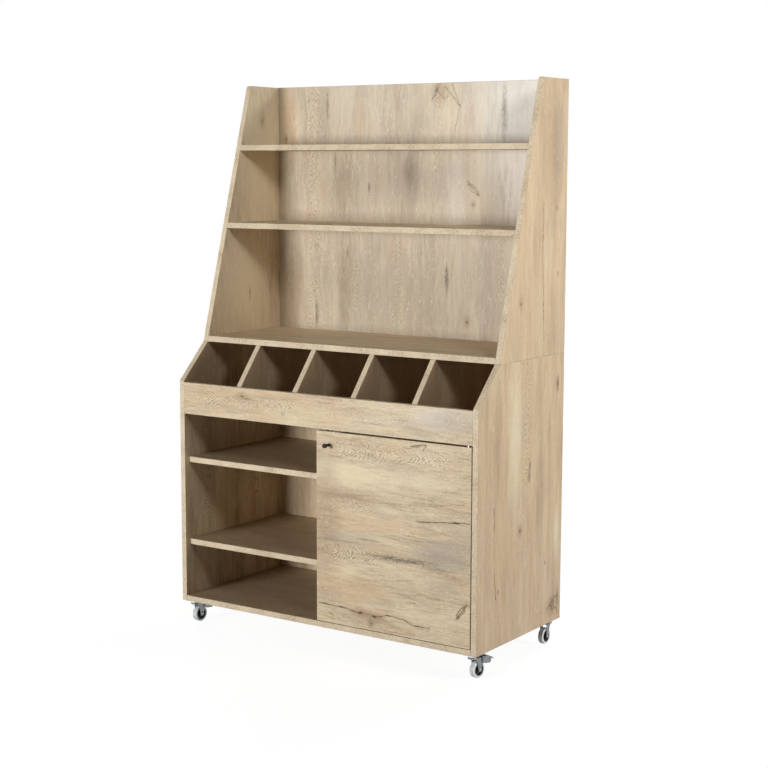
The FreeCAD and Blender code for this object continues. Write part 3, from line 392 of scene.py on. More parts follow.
def oak_material(name, boards, along, across, seed, tint, hatch, figure):
    """The printed oak face of a board, its grain along one axis of the piece."""
    shader, place = new_material(name)
    oak = Print(place, along, across, boards)
    wander = oak.place.noise((420, 95, 95), 2.0) * 46
    bent = place.joined(oak.along + seed * 613.0, oak.across + wander, seed * 71.0)
    broad = bent.noise((300, 44, 44), 3.0, 0.55)
    streak = bent.noise((75, 8, 8), 4.0, 0.62)
    fibre = bent.noise((24, 1.4, 1.4), 2.0, 0.6)
    speck = bent.noise((9, 3, 3), 3.0, 0.6)
    tone = broad * 0.95 + streak * 0.95 + fibre * 0.35 + speck * 0.6 + 0.5
    oak.colour = tone.ramp((0.1, boards.brown), (0.5, boards.middle), (0.86, boards.pale))
    for colour, share in tint:
        oak.cover(colour, share)
    if figure:
        bands = bent.noise((380, 42, 42), 3.0, 0.55)
        oak.cover("brown", bands.step(0.02, 0.24) * figure)
        oak.cover("pale", bands.step(-0.02, -0.24) * figure)
    cool = bent.noise((190, 50, 50), 3.0, 0.55)
    oak.cover("grey", cool.step(0.02, 0.26) * 0.5)
    oak.cover("warm", cool.step(-0.04, -0.28) * 0.45)
    for cloud in CLOUDS.get(name, ()):
        oak.cloud(*cloud)

    oak.height = fibre * 1.2 + streak * 0.4
    rows = (oak.across + wander * 0.7 + seed * 47.0).math("PINGPONG", 92.0)
    oak.hatch(rows, 26, 9.0, hatch)
    strokes = bent.noise((17, 3.4, 3.4), 2.0, 0.6)
    thick = bent.noise((60, 24, 24), 2.0).step(-0.12, 0.16)
    oak.cover("lime", strokes.step(0.06, 0.22) * thick * min(1.0, 0.4 + hatch))
    oak.cover("brown", strokes.step(-0.1, -0.26) * thick * 0.55)
    pores = bent.noise((7, 0.9, 0.9), 1.0).step(0.14, 0.27)
    pores = pores * bent.noise((90, 14, 14), 2.0).step(-0.05, 0.2)
    oak.cover("crack", pores * 0.4)
    oak.height = oak.height + strokes * 0.8 - pores
    for kind, *values in MARKS.get(name, ()):
        getattr(oak, kind)(*values)
    roughness = 0.5 + fibre * 0.16 + pores * 0.2
    feed(shader, oak.colour, roughness, oak.height, 0.09, Specular_IOR_Level=0.35)


def band_material(name, boards, seam):
    """The edge band: pale, with short light and dark flecks; given a share of crack colour, it is
    painted shade on the rounded edges.
    """
    shader, place = new_material(name)
    fleck = place.noise((5, 5, 5), 3.0, 0.65)
    patch = place.noise((60, 60, 60), 2.0)
    grain = place.noise((1.6, 1.6, 1.6), 1.0)
    tone = fleck * 0.8 + patch * 0.5 + grain * 0.45 + 0.5
    colour = tone.ramp((0.2, boards.brown), (0.5, boards.band), (0.8, boards.pale))
    # Painted shade: the rounded strips are darkened so that the grooves between boards read as
    # shaded.
    if seam:
        colour = colour.mix(boards.crack, seam)
    height = fleck + grain * 0.5
    feed(shader, colour, 0.48 + fleck * 0.2, height, 0.06, Specular_IOR_Level=0.4)


# ---- fitting finishes
def toned(colour, factor, lift=0.0):
    """A colour made darker or lighter."""
    return (*[min(1.0, value * factor + lift) for value in colour[:3]], 1.0)


def zinc_material(name, plating):
    """Zinc plating: cloudy, with fine rolling lines."""
    shader, place = new_material(name)
    cloudy = place.noise((7, 7, 7), 3.0, 0.6)
    lines = place.noise((9, 9, 0.5), 2.0, 0.5)
    colour = (cloudy * 1.3 + 0.55).ramp((0.25, toned(plating, 0.72)), (0.7, plating))
    roughness = 0.27 + cloudy * 0.18 + lines * 0.1
    feed(shader, colour, roughness, cloudy * 0.4 + lines, 0.02, Metallic=1.0)


def moulded_material(name, colour, roughness, shine=0.5, coat=0.0):
    """Moulded plastic, rubber or paint: a fine grain and a slight change of tone."""
    shader, place = new_material(name)
    fine = place.noise((0.35, 0.35, 0.35), 2.0)
    wide = place.noise((14, 14, 14), 3.0)
    darker, lighter = toned(colour, 0.86), toned(colour, 1.18, 0.004)
    feed(
        shader, (wide * 1.2 + fine * 0.4 + 0.5).ramp((0.3, darker), (0.7, lighter)),
        roughness + wide * 0.12, fine + wide * 0.5, 0.03,
        Specular_IOR_Level=shine, Coat_Weight=coat,
    )


def beech_material(name, wood):
    """Plain beech: short dark dashes along the grain."""
    shader, place = new_material(name)
    grain = place.noise((6, 1.1, 1.1), 2.0, 0.6)
    dash = place.noise((3, 0.5, 0.5), 1.0).step(0.1, 0.24)
    deeper = toned(wood, 0.7)
    colour = (grain + 0.5).ramp((0.3, deeper), (0.65, wood)).mix(deeper, dash * 0.6)
    feed(shader, colour, 0.6 + grain * 0.2, grain - dash, 0.05, Specular_IOR_Level=0.3)


# Each finish: its maker, the setting that holds its colour, and the maker's other values.
FINISHES = {
    "zinc": (zinc_material, "zinc"),
    "magnet": (zinc_material, "zinc"),
    "dark_steel": (zinc_material, "steel"),
    "beech": (beech_material, "beech"),
    "black_satin": (moulded_material, "black", 0.38, 0.25, 0.04),
    "white_plastic": (moulded_material, "white", 0.42),
    "hub_black": (moulded_material, "hub", 0.4),
    "tyre_wall": (moulded_material, "wall", 0.5),
    "tyre_tread": (moulded_material, "tread", 0.62),
}


def finish(name):
    """One of the finishes of the fittings."""
    maker, colour, *values = FINISHES[name]
    fittings = bpy.context.scene.cabinet_fittings
    return stock(name, maker, getattr(fittings, colour), *values)


# ---- modelling by hand
def let_go():
    """Object mode, with nothing selected."""
    if bpy.context.object and bpy.context.object.mode != "OBJECT":
        bpy.ops.object.mode_set(mode="OBJECT")
    bpy.ops.object.select_all(action="DESELECT")


def take(*pieces):
    """Only these pieces selected, the first of them active."""
    let_go()
    for piece in pieces:
        piece.select_set(True)
    bpy.context.view_layer.objects.active = pieces[0]


def open_up(piece, kind="FACE"):
    """Edit mode on one piece, with nothing selected."""
    take(piece)
    bpy.ops.object.mode_set(mode="EDIT")
    bpy.ops.mesh.select_mode(type=kind)
    bpy.ops.mesh.select_all(action="DESELECT")


def close_up():
    """Back to object mode."""
    bpy.ops.object.mode_set(mode="OBJECT")


def pick(piece, kind, test):
    """In edit mode, selects only the vertices, edges or faces that pass a test."""
    bpy.ops.mesh.select_mode(type={"verts": "VERT", "edges": "EDGE", "faces": "FACE"}[kind])
    bpy.ops.mesh.select_all(action="DESELECT")
    for element in getattr(bmesh.from_edit_mesh(piece.data), kind):
        if test(element):
            element.select_set(True)
    bmesh.update_edit_mesh(piece.data)


def label(piece, name):
    """Gives a piece and its mesh a name."""
    piece.name = name
    piece.data.name = name


def duplicate_of(model):
    """A copy of an object, with its own mesh."""
    take(model)
    bpy.ops.object.duplicate()
    return bpy.context.object


def apply_modifier(piece, kind, **settings):
    """Shapes a piece with one modifier."""
    take(piece)
    modifier = piece.modifiers.new("step", kind)
    for setting, value in settings.items():
        setattr(modifier, setting, value)
    bpy.ops.object.modifier_apply(modifier=modifier.name)


def apply_place(piece):
    """Puts a piece's place, turn and size into its mesh."""
    take(piece)
    bpy.ops.object.transform_apply(location=True, rotation=True, scale=True)


def copy_of_node(node, name=None):
    """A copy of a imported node, its loose triangles merged into whole faces."""
    source = frame["nodes"][node]
    hidden = source.hide_viewport
    source.hide_viewport = False
    piece = duplicate_of(source)
    source.hide_viewport = hidden
    label(piece, name or f"{node}_finished")
    del piece["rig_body"]
    del piece["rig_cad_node"]
    piece.parent = None
    piece.data.materials.clear()
    open_up(piece, "VERT")
    bpy.ops.mesh.select_all(action="SELECT")
    bpy.ops.mesh.remove_doubles(threshold=WELD)
    bpy.ops.mesh.dissolve_limited(angle_limit=math.radians(0.5), delimit=set())
    close_up()
    return piece


def long_sharp_edges(mesh, sharp, least):
    """The sharp edges that hang together in lines longer than least."""
    keen = {
        edge for edge in mesh.edges
        if len(edge.link_faces) == 2 and edge.calc_face_angle() > math.radians(sharp)
    }
    chosen = set()
    while keen:
        group = {keen.pop()}
        waiting = list(group)
        while waiting:
            edge = waiting.pop()
            touching = {
                other for vert in edge.verts for other in vert.link_edges if other in keen
            }
            keen -= touching
            group |= touching
            waiting += touching
        if sum(edge.calc_length() for edge in group) > least:
            chosen |= group
    return chosen


def round_over(piece, width, least, sharp=40, segments=3, strip=-1):
    """Rounds the long sharp edges of a piece; strip is the slot that the rounding gets."""
    open_up(piece, "EDGE")
    mesh = bmesh.from_edit_mesh(piece.data)
    for edge in long_sharp_edges(mesh, sharp, least):
        edge.select_set(True)
    bmesh.update_edit_mesh(piece.data)
    bpy.ops.mesh.bevel(
        offset=width, offset_type="OFFSET", segments=segments, affect="EDGES",
        clamp_overlap=True, material=strip,
    )
    close_up()


def smooth(piece, angle=35):
    """Smooth shading but for the sharp edges, with large flat faces kept flat up to their rims."""
    take(piece)
    bpy.ops.object.shade_smooth_by_angle(angle=math.radians(angle))
    apply_modifier(piece, "WEIGHTED_NORMAL", weight=100, keep_sharp=True)


def settle(piece):
    """Puts a piece's place into its mesh, with its faces outwards."""
    apply_place(piece)
    open_up(piece)
    bpy.ops.mesh.select_all(action="SELECT")
    bpy.ops.mesh.normals_make_consistent(inside=False)
    close_up()


def turned(name, rings, sides=32):
    """A solid turned about Z from (radius, height) rings in millimetres, closed at both ends."""
    let_go()
    radius, height = rings[0]
    bpy.ops.mesh.primitive_circle_add(
        vertices=sides, radius=radius * MM, fill_type="NGON", location=(0, 0, height * MM)
    )
    piece = bpy.context.object
    label(piece, name)
    bpy.ops.object.mode_set(mode="EDIT")
    bpy.ops.mesh.select_all(action="SELECT")
    for wide, high in rings[1:]:
        bpy.ops.mesh.extrude_region_move(
            TRANSFORM_OT_translate={"value": (0, 0, (high - height) * MM)}
        )
        if wide != radius:
            bpy.ops.transform.resize(value=(wide / radius, wide / radius, 1))
        radius, height = wide, high
    close_up()
    return piece


def cut_cross(piece, width, length, height, depth):
    """Cuts a cross recess, narrower inside, upwards from height into a piece."""
    bars = []
    for size in ((length, width), (width, length)):
        let_go()
        bpy.ops.mesh.primitive_cube_add(size=1, location=(0, 0, height * MM))
        bar = bpy.context.object
        bar.scale = (size[0] * MM, size[1] * MM, 2 * depth * MM)
        apply_place(bar)
        open_up(bar)
        pick(bar, "faces", lambda face: face.normal.z > 0.9)
        bpy.ops.transform.resize(value=(0.6, 0.6, 1))
        close_up()
        bars.append(bar)
    take(*bars)
    bpy.ops.object.join()
    apply_modifier(
        piece, "BOOLEAN", operation="DIFFERENCE", solver="EXACT", use_self=True, object=bars[0]
    )
    bpy.data.objects.remove(bars[0])


def copies_at(model, name, places):
    """Copies of a model, each turned and moved by a matrix, joined as one piece."""
    made = []
    for place in places:
        made.append(duplicate_of(model))
        made[-1].matrix_world = place
    take(*made)
    bpy.ops.object.join()
    piece = bpy.context.object
    label(piece, name)
    settle(piece)
    return piece


def solids_of(node):
    """The lowest and highest corner of each separate solid in a node."""
    mesh = bmesh.new()
    mesh.from_mesh(frame["nodes"][node].data)
    bmesh.ops.remove_doubles(mesh, verts=mesh.verts, dist=WELD)
    left = set(mesh.verts)
    found = []
    while left:
        waiting = [left.pop()]
        group = []
        while waiting:
            vert = waiting.pop()
            group.append(vert.co.copy())
            for edge in vert.link_edges:
                other = edge.other_vert(vert)
                if other in left:
                    left.remove(other)
                    waiting.append(other)
        found.append([Vector([end(values) for values in zip(*group)]) for end in (min, max)])
    mesh.free()
    return sorted(found, key=lambda box: tuple(round(value, 5) for value in (*box[0], *box[1])))


def aim(point, direction):
    """A matrix that puts a model's origin at a point and its +Z along a direction."""
    turn = Vector((0, 0, 1)).rotation_difference(Vector(direction)).to_matrix().to_4x4()
    return Matrix.Translation(point) @ turn


def seat_of(box, direction, rise=0.0):
    """Where a model stands that is driven into a solid's box, rise past the box's first face."""
    low, high = box
    point = (low + high) / 2
    for axis, step in enumerate(direction):
        if step:
            point[axis] = (low if step > 0 else high)[axis]
    return aim(point + Vector(direction) * rise, direction)


BODIES = frame["record"]["behaviour"]["bodies"]
CORNERS = ("fl", "fr", "rl", "rr")
JOINTS = {joint["name"]: joint for joint in frame["joints"]}


def hand_in(piece, node, *finishes):
    """A finished piece takes its finishes and the body of the node it stands for; the node is
    hidden.
    """
    for name in finishes:
        piece.data.materials.append(finish(name))
    body = next(name for name, nodes in BODIES.items() if node in nodes)
    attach(piece, body)
    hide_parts(node)


def soften(node, width, least, name):
    """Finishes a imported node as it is, with its long edges rounded."""
    piece = copy_of_node(node)
    round_over(piece, width, least)
    smooth(piece)
    hand_in(piece, node, name)


# ---- marks of the boards
# Places are along and across the grain, in millimetres of the frame. A cloud has its tone, its
# centre, its reach along and across, its strength, and two depths where it is kept to one face.
BACK_FRONT = (264, 260)
INNER_LEFT = (-545, -537)
CLOUDS = {
    "oak_door": (
        ("pale", 70, 560, 175, 55, 0.8), ("pale", 340, 566, 190, 34, 0.6),
        ("warm", 265, 650, 60, 13, 0.45), ("brown", 92, 486, 150, 20, 0.6),
        ("warm", 205, 418, 180, 26, 0.55), ("grey", 100, 360, 170, 30, 0.6),
        ("grey", 432, 352, 125, 54, 0.85), ("slate", 430, 346, 90, 24, 0.35),
        ("brown", 22, 400, 70, 260, 0.55), ("grey", 436, 262, 70, 30, 0.6),
        ("warm", 110, 207, 180, 48, 0.55), ("grey", 500, 420, 60, 60, 0.4),
        ("brown", 200, 125, 90, 16, 0.35),
    ),
    "oak_back": (
        ("warm", 1610, -490, 170, 44, 0.6), ("grey", 1620, -345, 150, 40, 0.75),
        ("brown", 1400, -262, 130, 58, 0.5), ("warm", 1600, -205, 110, 26, 0.45),
        ("grey", 1420, -5, 150, 68, 0.9), ("slate", 1436, -5, 90, 34, 0.75),
        ("grey", 1596, 25, 70, 50, 0.6), ("pale", 1650, 140, 90, 50, 0.5),
        ("warm", 1600, 215, 90, 24, 0.4), ("grey", 1400, 352, 150, 70, 0.8),
        # The white clouds kept to the back's front face are painted light on its right part.
        ("white", 1640, 430, 330, 250, 0.85, BACK_FRONT),
        ("white", 1400, 455, 170, 130, 0.85, BACK_FRONT),
        ("white", 1100, 470, 260, 110, 0.75, BACK_FRONT),
        ("white", 1655, 500, 200, 150, 0.6, BACK_FRONT), ("white", 1380, 165, 180, 40, 0.35),
        ("grey", 1330, 455, 200, 90, 0.35, BACK_FRONT), ("brown", 1090, -262, 190, 36, 0.55),
        ("grey", 1110, 300, 260, 80, 0.6), ("warm", 1060, -470, 190, 44, 0.4),
        # The two slate clouds kept to the back's front face are painted shade on the back under
        # the hutch shelves.
        ("brown", 1000, 60, 120, 44, 0.35), ("slate", 1000, -80, 250, 460, 0.5, BACK_FRONT),
        ("slate", 1390, -140, 190, 420, 0.35, BACK_FRONT), ("brown", 1690, 105, 44, 46, 0.5),
    ),
    "oak_front": (
        ("brown", -230, 740, 480, 60, 0.32), ("pale", -60, 720, 260, 40, 0.4),
        ("white", 430, 752, 120, 46, 0.45), ("grey", 470, 748, 84, 40, 0.6),
        ("warm", -250, 775, 240, 14, 0.4), ("white", 240, 727, 120, 16, 0.2),
    ),
    "oak_right": (
        ("pale", 690, -28, 260, 46, 0.85), ("brown", 700, -128, 220, 30, 0.4),
        ("warm", 330, -120, 260, 90, 0.4), ("brown", 760, 110, 170, 30, 0.35),
        ("brown", 500, 130, 160, 34, 0.4), ("pale", 350, 232, 90, 20, 0.9),
        ("brown", 130, 215, 46, 50, 0.6),
    ),
    "oak_hutch_right": (
        ("warm", 1250, -10, 300, 40, 0.35), ("grey", 1520, 215, 180, 34, 0.5),
        # The brown cloud at 1560, high on the hutch's right side, is painted shade on its upper
        # part.
        ("brown", 1560, 160, 260, 90, 0.4), ("brown", 1000, 190, 160, 30, 0.3),
    ),
    # In oak_left, the two brown clouds at 800 kept to the inner face are painted shade inside the
    # bins.
    "oak_left": (
        ("brown", 560, -120, 200, 30, 0.4), ("brown", 800, -170, 130, 200, 1.0, INNER_LEFT),
        ("brown", 790, -170, 100, 170, 1.0, INNER_LEFT),
    ),
    # The pale clouds kept to the inner face of the hutch's left side are painted light on that
    # wall.
    "oak_hutch_left": (
        ("pale", 1520, 160, 420, 200, 1.0, INNER_LEFT),
        ("pale", 1080, 60, 220, 180, 1.0, INNER_LEFT),
    ),
}
# What lies over the clouds, each row a method of Print and its values.
MARKS = {
    "oak_door": (
        ("chevrons", 630, 30, 60, 450, 15.6, 0.9), ("smudge", 347, 665, 20, 5, 0.8),
        ("crack", 1.4, 0.95, (323, 663), (352, 668), (377, 669)),
        ("crack", 1.2, 0.9, (377, 669), (366, 652)),
        ("crack", 1.0, 0.7, (338, 664), (318, 655), (300, 657)),
        ("chevrons", 466, 24, 10, 203, 15.6, 0.8),
        ("crack", 0.8, 0.55, (237, 485), (324, 489), (426, 499), (462, 508), (504, 513)),
        ("crack", 1.9, 1.0, (351, 444), (426, 452), (473, 455), (530, 461)),
        ("chevrons", 318, 30, 3, 225, 15.6, 0.95), ("smudge", 285, 323, 150, 12, 1.1),
        ("smudge", 420, 312, 80, 7, 0.6), ("smudge", 60, 352, 110, 5, 0.45),
        ("smudge", 170, 368, 60, 4, 0.5), ("crack", 0.8, 0.55, (282, 260), (331, 267)),
        ("smudge", 331, 201, 20, 3, 0.8),
        ("crack", 1.8, 1.0, (-3, 152), (73, 149), (142, 142), (210, 140), (243, 150)),
        ("crack", 1.6, 0.95, (243, 150), (304, 146), (337, 134), (391, 134)),
        ("knot", 150, 143, 17, 9, 0, 1.0), ("knot", 198, 138, 20, 9, 0, 1.0),
        ("smudge", 186, 116, 13, 20, 0.75), ("smudge", 95, 149, 22, 4, 0.7),
        ("knot", 41, 122, 7, 3, -20, 0.9), ("ring", 498, 199, 26, 9, 52, 1.0),
        ("crack", 1.8, 0.95, (484, 177), (517, 224)),
    ),
    "oak_back": (
        ("chevrons", -386, 38, 925, 1725, 16.9, 0.75),
        ("chevrons", -215, 26, 1000, 1180, 15.6, 0.55),
        ("chevrons", -55, 28, 950, 1240, 15.6, 0.6), ("chevrons", 331, 26, 1040, 1250, 15.6, 0.6),
        ("chevrons", 92, 24, 1640, 1725, 14.3, 0.8), ("smudge", 975, -377, 60, 8, 0.8),
        ("smudge", 1660, -330, 60, 7, 0.6), ("smudge", 1625, 336, 105, 12, 0.6),
        ("smudge", 1110, 134, 52, 9, 0.95), ("smudge", 1391, -165, 24, 5, 0.9),
        ("smudge", 1440, -8, 44, 20, 0.5), ("smudge", 1698, 90, 16, 9, 0.9),
        ("crack", 1.2, 0.9, (1716, 103), (1694, 92), (1668, 74)),
        ("crack", 0.9, 0.8, (1698, 88), (1673, 118), (1680, 134)),
        ("crack", 1.1, 0.75, (1715, 147), (1684, 160), (1647, 177)),
        ("crack", 0.9, 0.6, (1647, 177), (1589, 163), (1543, 156)),
        ("crack", 0.9, 0.7, (1708, 122), (1676, 152), (1651, 172)),
        ("ring", 1392, 229, 30, 11, -50, 0.5), ("crack", 1.0, 0.8, (1418, 207), (1372, 250)),
        ("knot", 1344, 228, 8, 6, 0, 0.7), ("knot", 977, 209, 12, 7, 0, 0.8),
        ("knot", 1550, -502, 9, 5, 0, 0.8), ("smudge", 1480, -300, 30, 6, 0.6),
        ("smudge", 1180, -250, 30, 8, 0.4),
    ),
    "oak_front": (
        ("chevrons", 740, 28, -475, -90, 15.6, 0.8), ("chevrons", 738, 20, 20, 330, 15.6, 0.5),
        ("chevrons", 752, 30, 405, 525, 14.3, 0.45), ("knot", -297, 757, 15, 7, -8, 0.8),
        ("smudge", -270, 751, 28, 5, 0.8), ("smudge", 190, 716, 60, 4, 0.4),
        ("smudge", 285, 734, 46, 3, 0.35), ("smudge", -140, 716, 12, 12, 0.35),
    ),
    "oak_right": (
        ("chevrons", 40, 30, 520, 895, 14.3, 0.85), ("chevrons", 12, 34, 300, 480, 14.3, 0.5),
        ("crack", 1.4, 0.95, (490, -146), (424, -144)),
        ("crack", 0.7, 0.5, (424, -144), (300, -140)),
        ("crack", 1.3, 0.9, (300, -140), (219, -131)), ("knot", 586, 62, 9, 5, 0, 0.9),
        ("knot", 552, 57, 11, 6, 0, 0.9), ("smudge", 566, 60, 30, 8, 0.35),
        ("smudge", 812, 228, 30, 9, 1.0), ("knot", 812, 226, 14, 7, 0, 0.7),
        ("knot", 398, 7, 13, 9, 0, 0.9), ("knot", 272, 165, 4, 3, 0, 1.0),
        ("knot", 241, -118, 4, 3, 0, 1.0), ("crack", 1.9, 1.0, (131, 201), (150, 226), (149, 248)),
        ("crack", 1.7, 1.0, (122, 181), (131, 201), (112, 214)),
        ("crack", 1.4, 0.9, (112, 214), (118, 236), (98, 250)), ("smudge", 130, 214, 26, 18, 0.8),
        ("smudge", 150, 246, 40, 8, 0.7),
    ),
    "oak_hutch_right": (
        ("crack", 1.1, 0.85, (1359, 123), (1219, 121), (1080, 128), (952, 136)),
        ("knot", 1340, 204, 6, 4, 0, 0.9), ("knot", 1143, 217, 6, 4, 0, 0.9),
        ("knot", 1255, 122, 6, 4, 0, 0.8), ("knot", 1069, -6, 12, 8, 0, 0.7),
    ),
    "oak_left": (
        ("chevrons", -131, 26, 280, 660, 15.6, 0.9), ("crack", 1.1, 0.9, (424, 112), (411, 129)),
        ("crack", 1.0, 0.9, (411, 121), (400, 117)), ("smudge", 374, 120, 8, 7, 0.7),
        ("smudge", 140, 20, 42, 5, 0.7),
    ),
    "oak_hutch_left": (
        ("smudge", 1045, 96, 30, 4, 0.9), ("knot", 1610, 170, 16, 10, 0, 0.5),
    ),
    "oak_shelves": (
        ("smudge", -87, -218, 34, 7, 0.8),
    ),
}

# Inner shelves, floors and bin dividers are printed browner than the other boards: painted shade
# of the dark bays and bins.
SHADED_INSIDE = (("brown", 0.75),)
RIGHT_SIDE = (("warm", 0.55),)
LEFT_SIDE = (("brown", 0.1),)
# Each print: the axis through the board, the axis of its grain, its seed, its tints, the
# strengths of its hatches and of its broad bands, and the boards that have it.
BOARDS = {
    "oak_left": (X, Z, 3.0, LEFT_SIDE, 0.15, 0.4, "base_side_left"),
    "oak_right": (X, Z, 5.0, RIGHT_SIDE, 0.06, 0.4, "base_side_right"),
    "oak_hutch_left": (X, Z, 4.0, LEFT_SIDE, 0.15, 0.4, "hutch_side_left"),
    "oak_hutch_right": (X, Z, 6.0, RIGHT_SIDE, 0.06, 0.4, "hutch_side_right"),
    "oak_partition": (X, Z, 7.0, (), 0.2, 0.0, "partition"),
    "oak_dividers": (
        X, Z, 9.0, SHADED_INSIDE, 0.2, 0.12, *[f"bin_divider_{number}" for number in range(1, 5)]
    ),
    "oak_base_back": (Y, Z, 12.0, (("warm", 0.25),), 0.2, 0.3, "base_back_panel"),
    "oak_back": (Y, Z, 11.0, (("grey", 0.3), ("white", 0.25)), 0.3, 0.4, "hutch_back_panel"),
    "oak_front": (Y, X, 13.0, (), 0.3, 0.0, "front_board"),
    "oak_shelves": (
        Z, X, 17.0, SHADED_INSIDE, 0.2, 0.12,
        "bottom_board", "bin_floor", "open_shelf_upper", "open_shelf_lower", "cupboard_shelf",
    ),
    "oak_worktop": (
        Z, X, 19.0, (("pale", 0.3),), 0.2, 0.2,
        "worktop", "hutch_shelf_lower", "hutch_shelf_upper",
    ),
}
DOOR = (Y, X, 1.0, (), 0.3, 0.0, "door")
BOARD_EDGE = 100 * MM


def finish_boards(print_name, thickness, along, seed, tints, hatch, figure, *nodes):
    """Boards with one print on their two faces and bands on their edges."""
    boards = bpy.context.scene.cabinet_boards
    across = ({X, Y, Z} - {thickness, along}).pop()
    finishes = (
        stock(print_name, oak_material, boards, along, across, seed, tints, hatch, figure),
        stock("edge_band", band_material, boards, 0.0),
        # The rounding strips get the edge band with painted shade.
        stock("band_seam", band_material, boards, 0.18),
    )
    for node in nodes:
        piece = copy_of_node(node)
        for material in finishes:
            piece.data.materials.append(material)
        for polygon in piece.data.polygons:
            polygon.material_index = 0 if abs(polygon.normal[thickness]) > 0.9 else 1
        round_over(piece, boards.rounding, BOARD_EDGE, 30, strip=2)
        smooth(piece)
        hand_in(piece, node)


# ---- boards and door
class CABINET_OT_boards(bpy.types.Operator):
    """Finishes every board that doesn't move"""

    bl_idname = "cabinet.boards"
    bl_label = "Boards"

    def execute(self, context):
        for print_name, values in BOARDS.items():
            finish_boards(print_name, *values)
        return {"FINISHED"}


class CABINET_OT_door(bpy.types.Operator):
    """Finishes the door"""

    bl_idname = "cabinet.door"
    bl_label = "Door"

    def execute(self, context):
        finish_boards("oak_door", *DOOR)
        return {"FINISHED"}


# ---- small fittings
HEAD = 3.8
THREAD = 2.0
CORE = 0.78 * THREAD
PITCH = 1.8
TIP = 3
CROSS_WIDTH = 0.9
CROSS_LENGTH = 1.25 * HEAD
CROSS_DEPTH = 1.1
PAN_HEIGHT = 2.4
PAN_RINGS = [
    (0.55 * HEAD, -PAN_HEIGHT), (0.8 * HEAD, -2.1), (0.96 * HEAD, -1.3), (HEAD, -0.5), (HEAD, 0),
    (THREAD, 0),
]
SUNK_RINGS = [(HEAD - 0.15, 0), (HEAD, 0.15), (THREAD, HEAD - THREAD + 0.15)]


def screw(length, countersunk=False):
    """A cross-recess screw along +Z: its head's seat at 0, its tip at length."""
    rings = list(SUNK_RINGS if countersunk else PAN_RINGS)
    place = HEAD - THREAD + 1 if countersunk else 2
    while place < length - TIP - 0.5:
        rings += [(CORE, place), (CORE, place + PITCH * 0.4), (THREAD, place + PITCH * 0.7)]
        place += PITCH
    made = turned("screw", rings + [(CORE, length - TIP), (0.3, length)], 16)
    settle(made)
    cut_cross(made, CROSS_WIDTH, CROSS_LENGTH, rings[0][1], CROSS_DEPTH)
    return made


def up(box):
    """The way of what is driven upwards."""
    return (0, 0, 1)


def forward(box):
    """The way of what is driven from behind, or through the door."""
    return (0, -1, 0)


def outwards(box):
    """The way of what is driven into a side board from inside."""
    return (math.copysign(1, box[0].x), 0, 0)


def inwards(box):
    """The way of what stands out of a side board."""
    return (-math.copysign(1, box[0].x), 0, 0)


def lengthwise(box):
    """The way of a dowel, along the axis on which it is long."""
    return tuple(1 if size > 20 * MM else 0 for size in box[1] - box[0])


def out_or_up(box):
    """The way of a bracket's or catch's screw, whichever of two it is longer in."""
    size = box[1] - box[0]
    return outwards(box) if size.x > size.z else up(box)


def fit_out(node, model, direction_of, rise=0.0, name=None):
    """One model copied to each solid of a node, as one finished piece of zinc."""
    places = [seat_of(box, direction_of(box), rise) for box in solids_of(node)]
    piece = copies_at(model, name or f"{node}_finished", places)
    bpy.data.objects.remove(model)
    smooth(piece, 40)
    hand_in(piece, node, "zinc")


class CABINET_OT_screws(bpy.types.Operator):
    """Adds the screws: one of each kind modelled, then copied to its places"""

    bl_idname = "cabinet.screws"
    bl_label = "Screws"

    def execute(self, context):
        rise = PAN_HEIGHT * MM
        fit_out("caster_screws", screw(14), up, rise)
        fit_out("back_panel_screws", screw(30, True), forward, name="back_screws_finished")
        fit_out("strike_screw", screw(12, True), forward)
        fit_out("knob_screw", screw(32), forward, rise)
        made = []
        for length in (14, 22):
            places = []
            for box in solids_of("small_screws"):
                direction = out_or_up(box)
                size = abs((box[1] - box[0]).dot(Vector(direction))) / MM
                if abs(size - PAN_HEIGHT - length) < 1:
                    places.append(seat_of(box, direction, rise))
            model = screw(length)
            made.append(copies_at(model, "small_screw", places))
            bpy.data.objects.remove(model)
        take(*made)
        bpy.ops.object.join()
        piece = context.object
        label(piece, "small_screws_finished")
        smooth(piece, 40)
        hand_in(piece, "small_screws", "zinc")
        return {"FINISHED"}


LOCK_RINGS = [
    (7.1, 0), (7.5, 0.4), (7.5, 2.2), (7.1, 2.6), (7.1, 10.4), (7.5, 10.8), (7.5, 12.5),
]
BOLT_RINGS = [
    (2.2, 0), (3.0, 1.0),
    *[
        (radius, height + 1.7 * turn) for turn in range(5)
        for radius, height in ((3.0, 1.6), (2.4, 2.0), (2.4, 2.5), (3.0, 2.9))
    ],
    (3.0, 11.5), (2.4, 12), (2.4, 31), (1.6, 32), (1.6, 34), (2.6, 34.6), (2.6, 36), (1.8, 36.4),
]
DOWEL_RINGS = [(3.2, 0), (3.9, 1.2), (3.9, 28.8), (3.2, 30)]
DOWEL_SIDES = 40


def in_flute(vert):
    """Whether a vertex lies in a flute of a dowel, between its two ends."""
    side = round(math.atan2(vert.co.y, vert.co.x) / math.tau * DOWEL_SIDES)
    return 1 * MM < vert.co.z < 29 * MM and side % 2 == 0


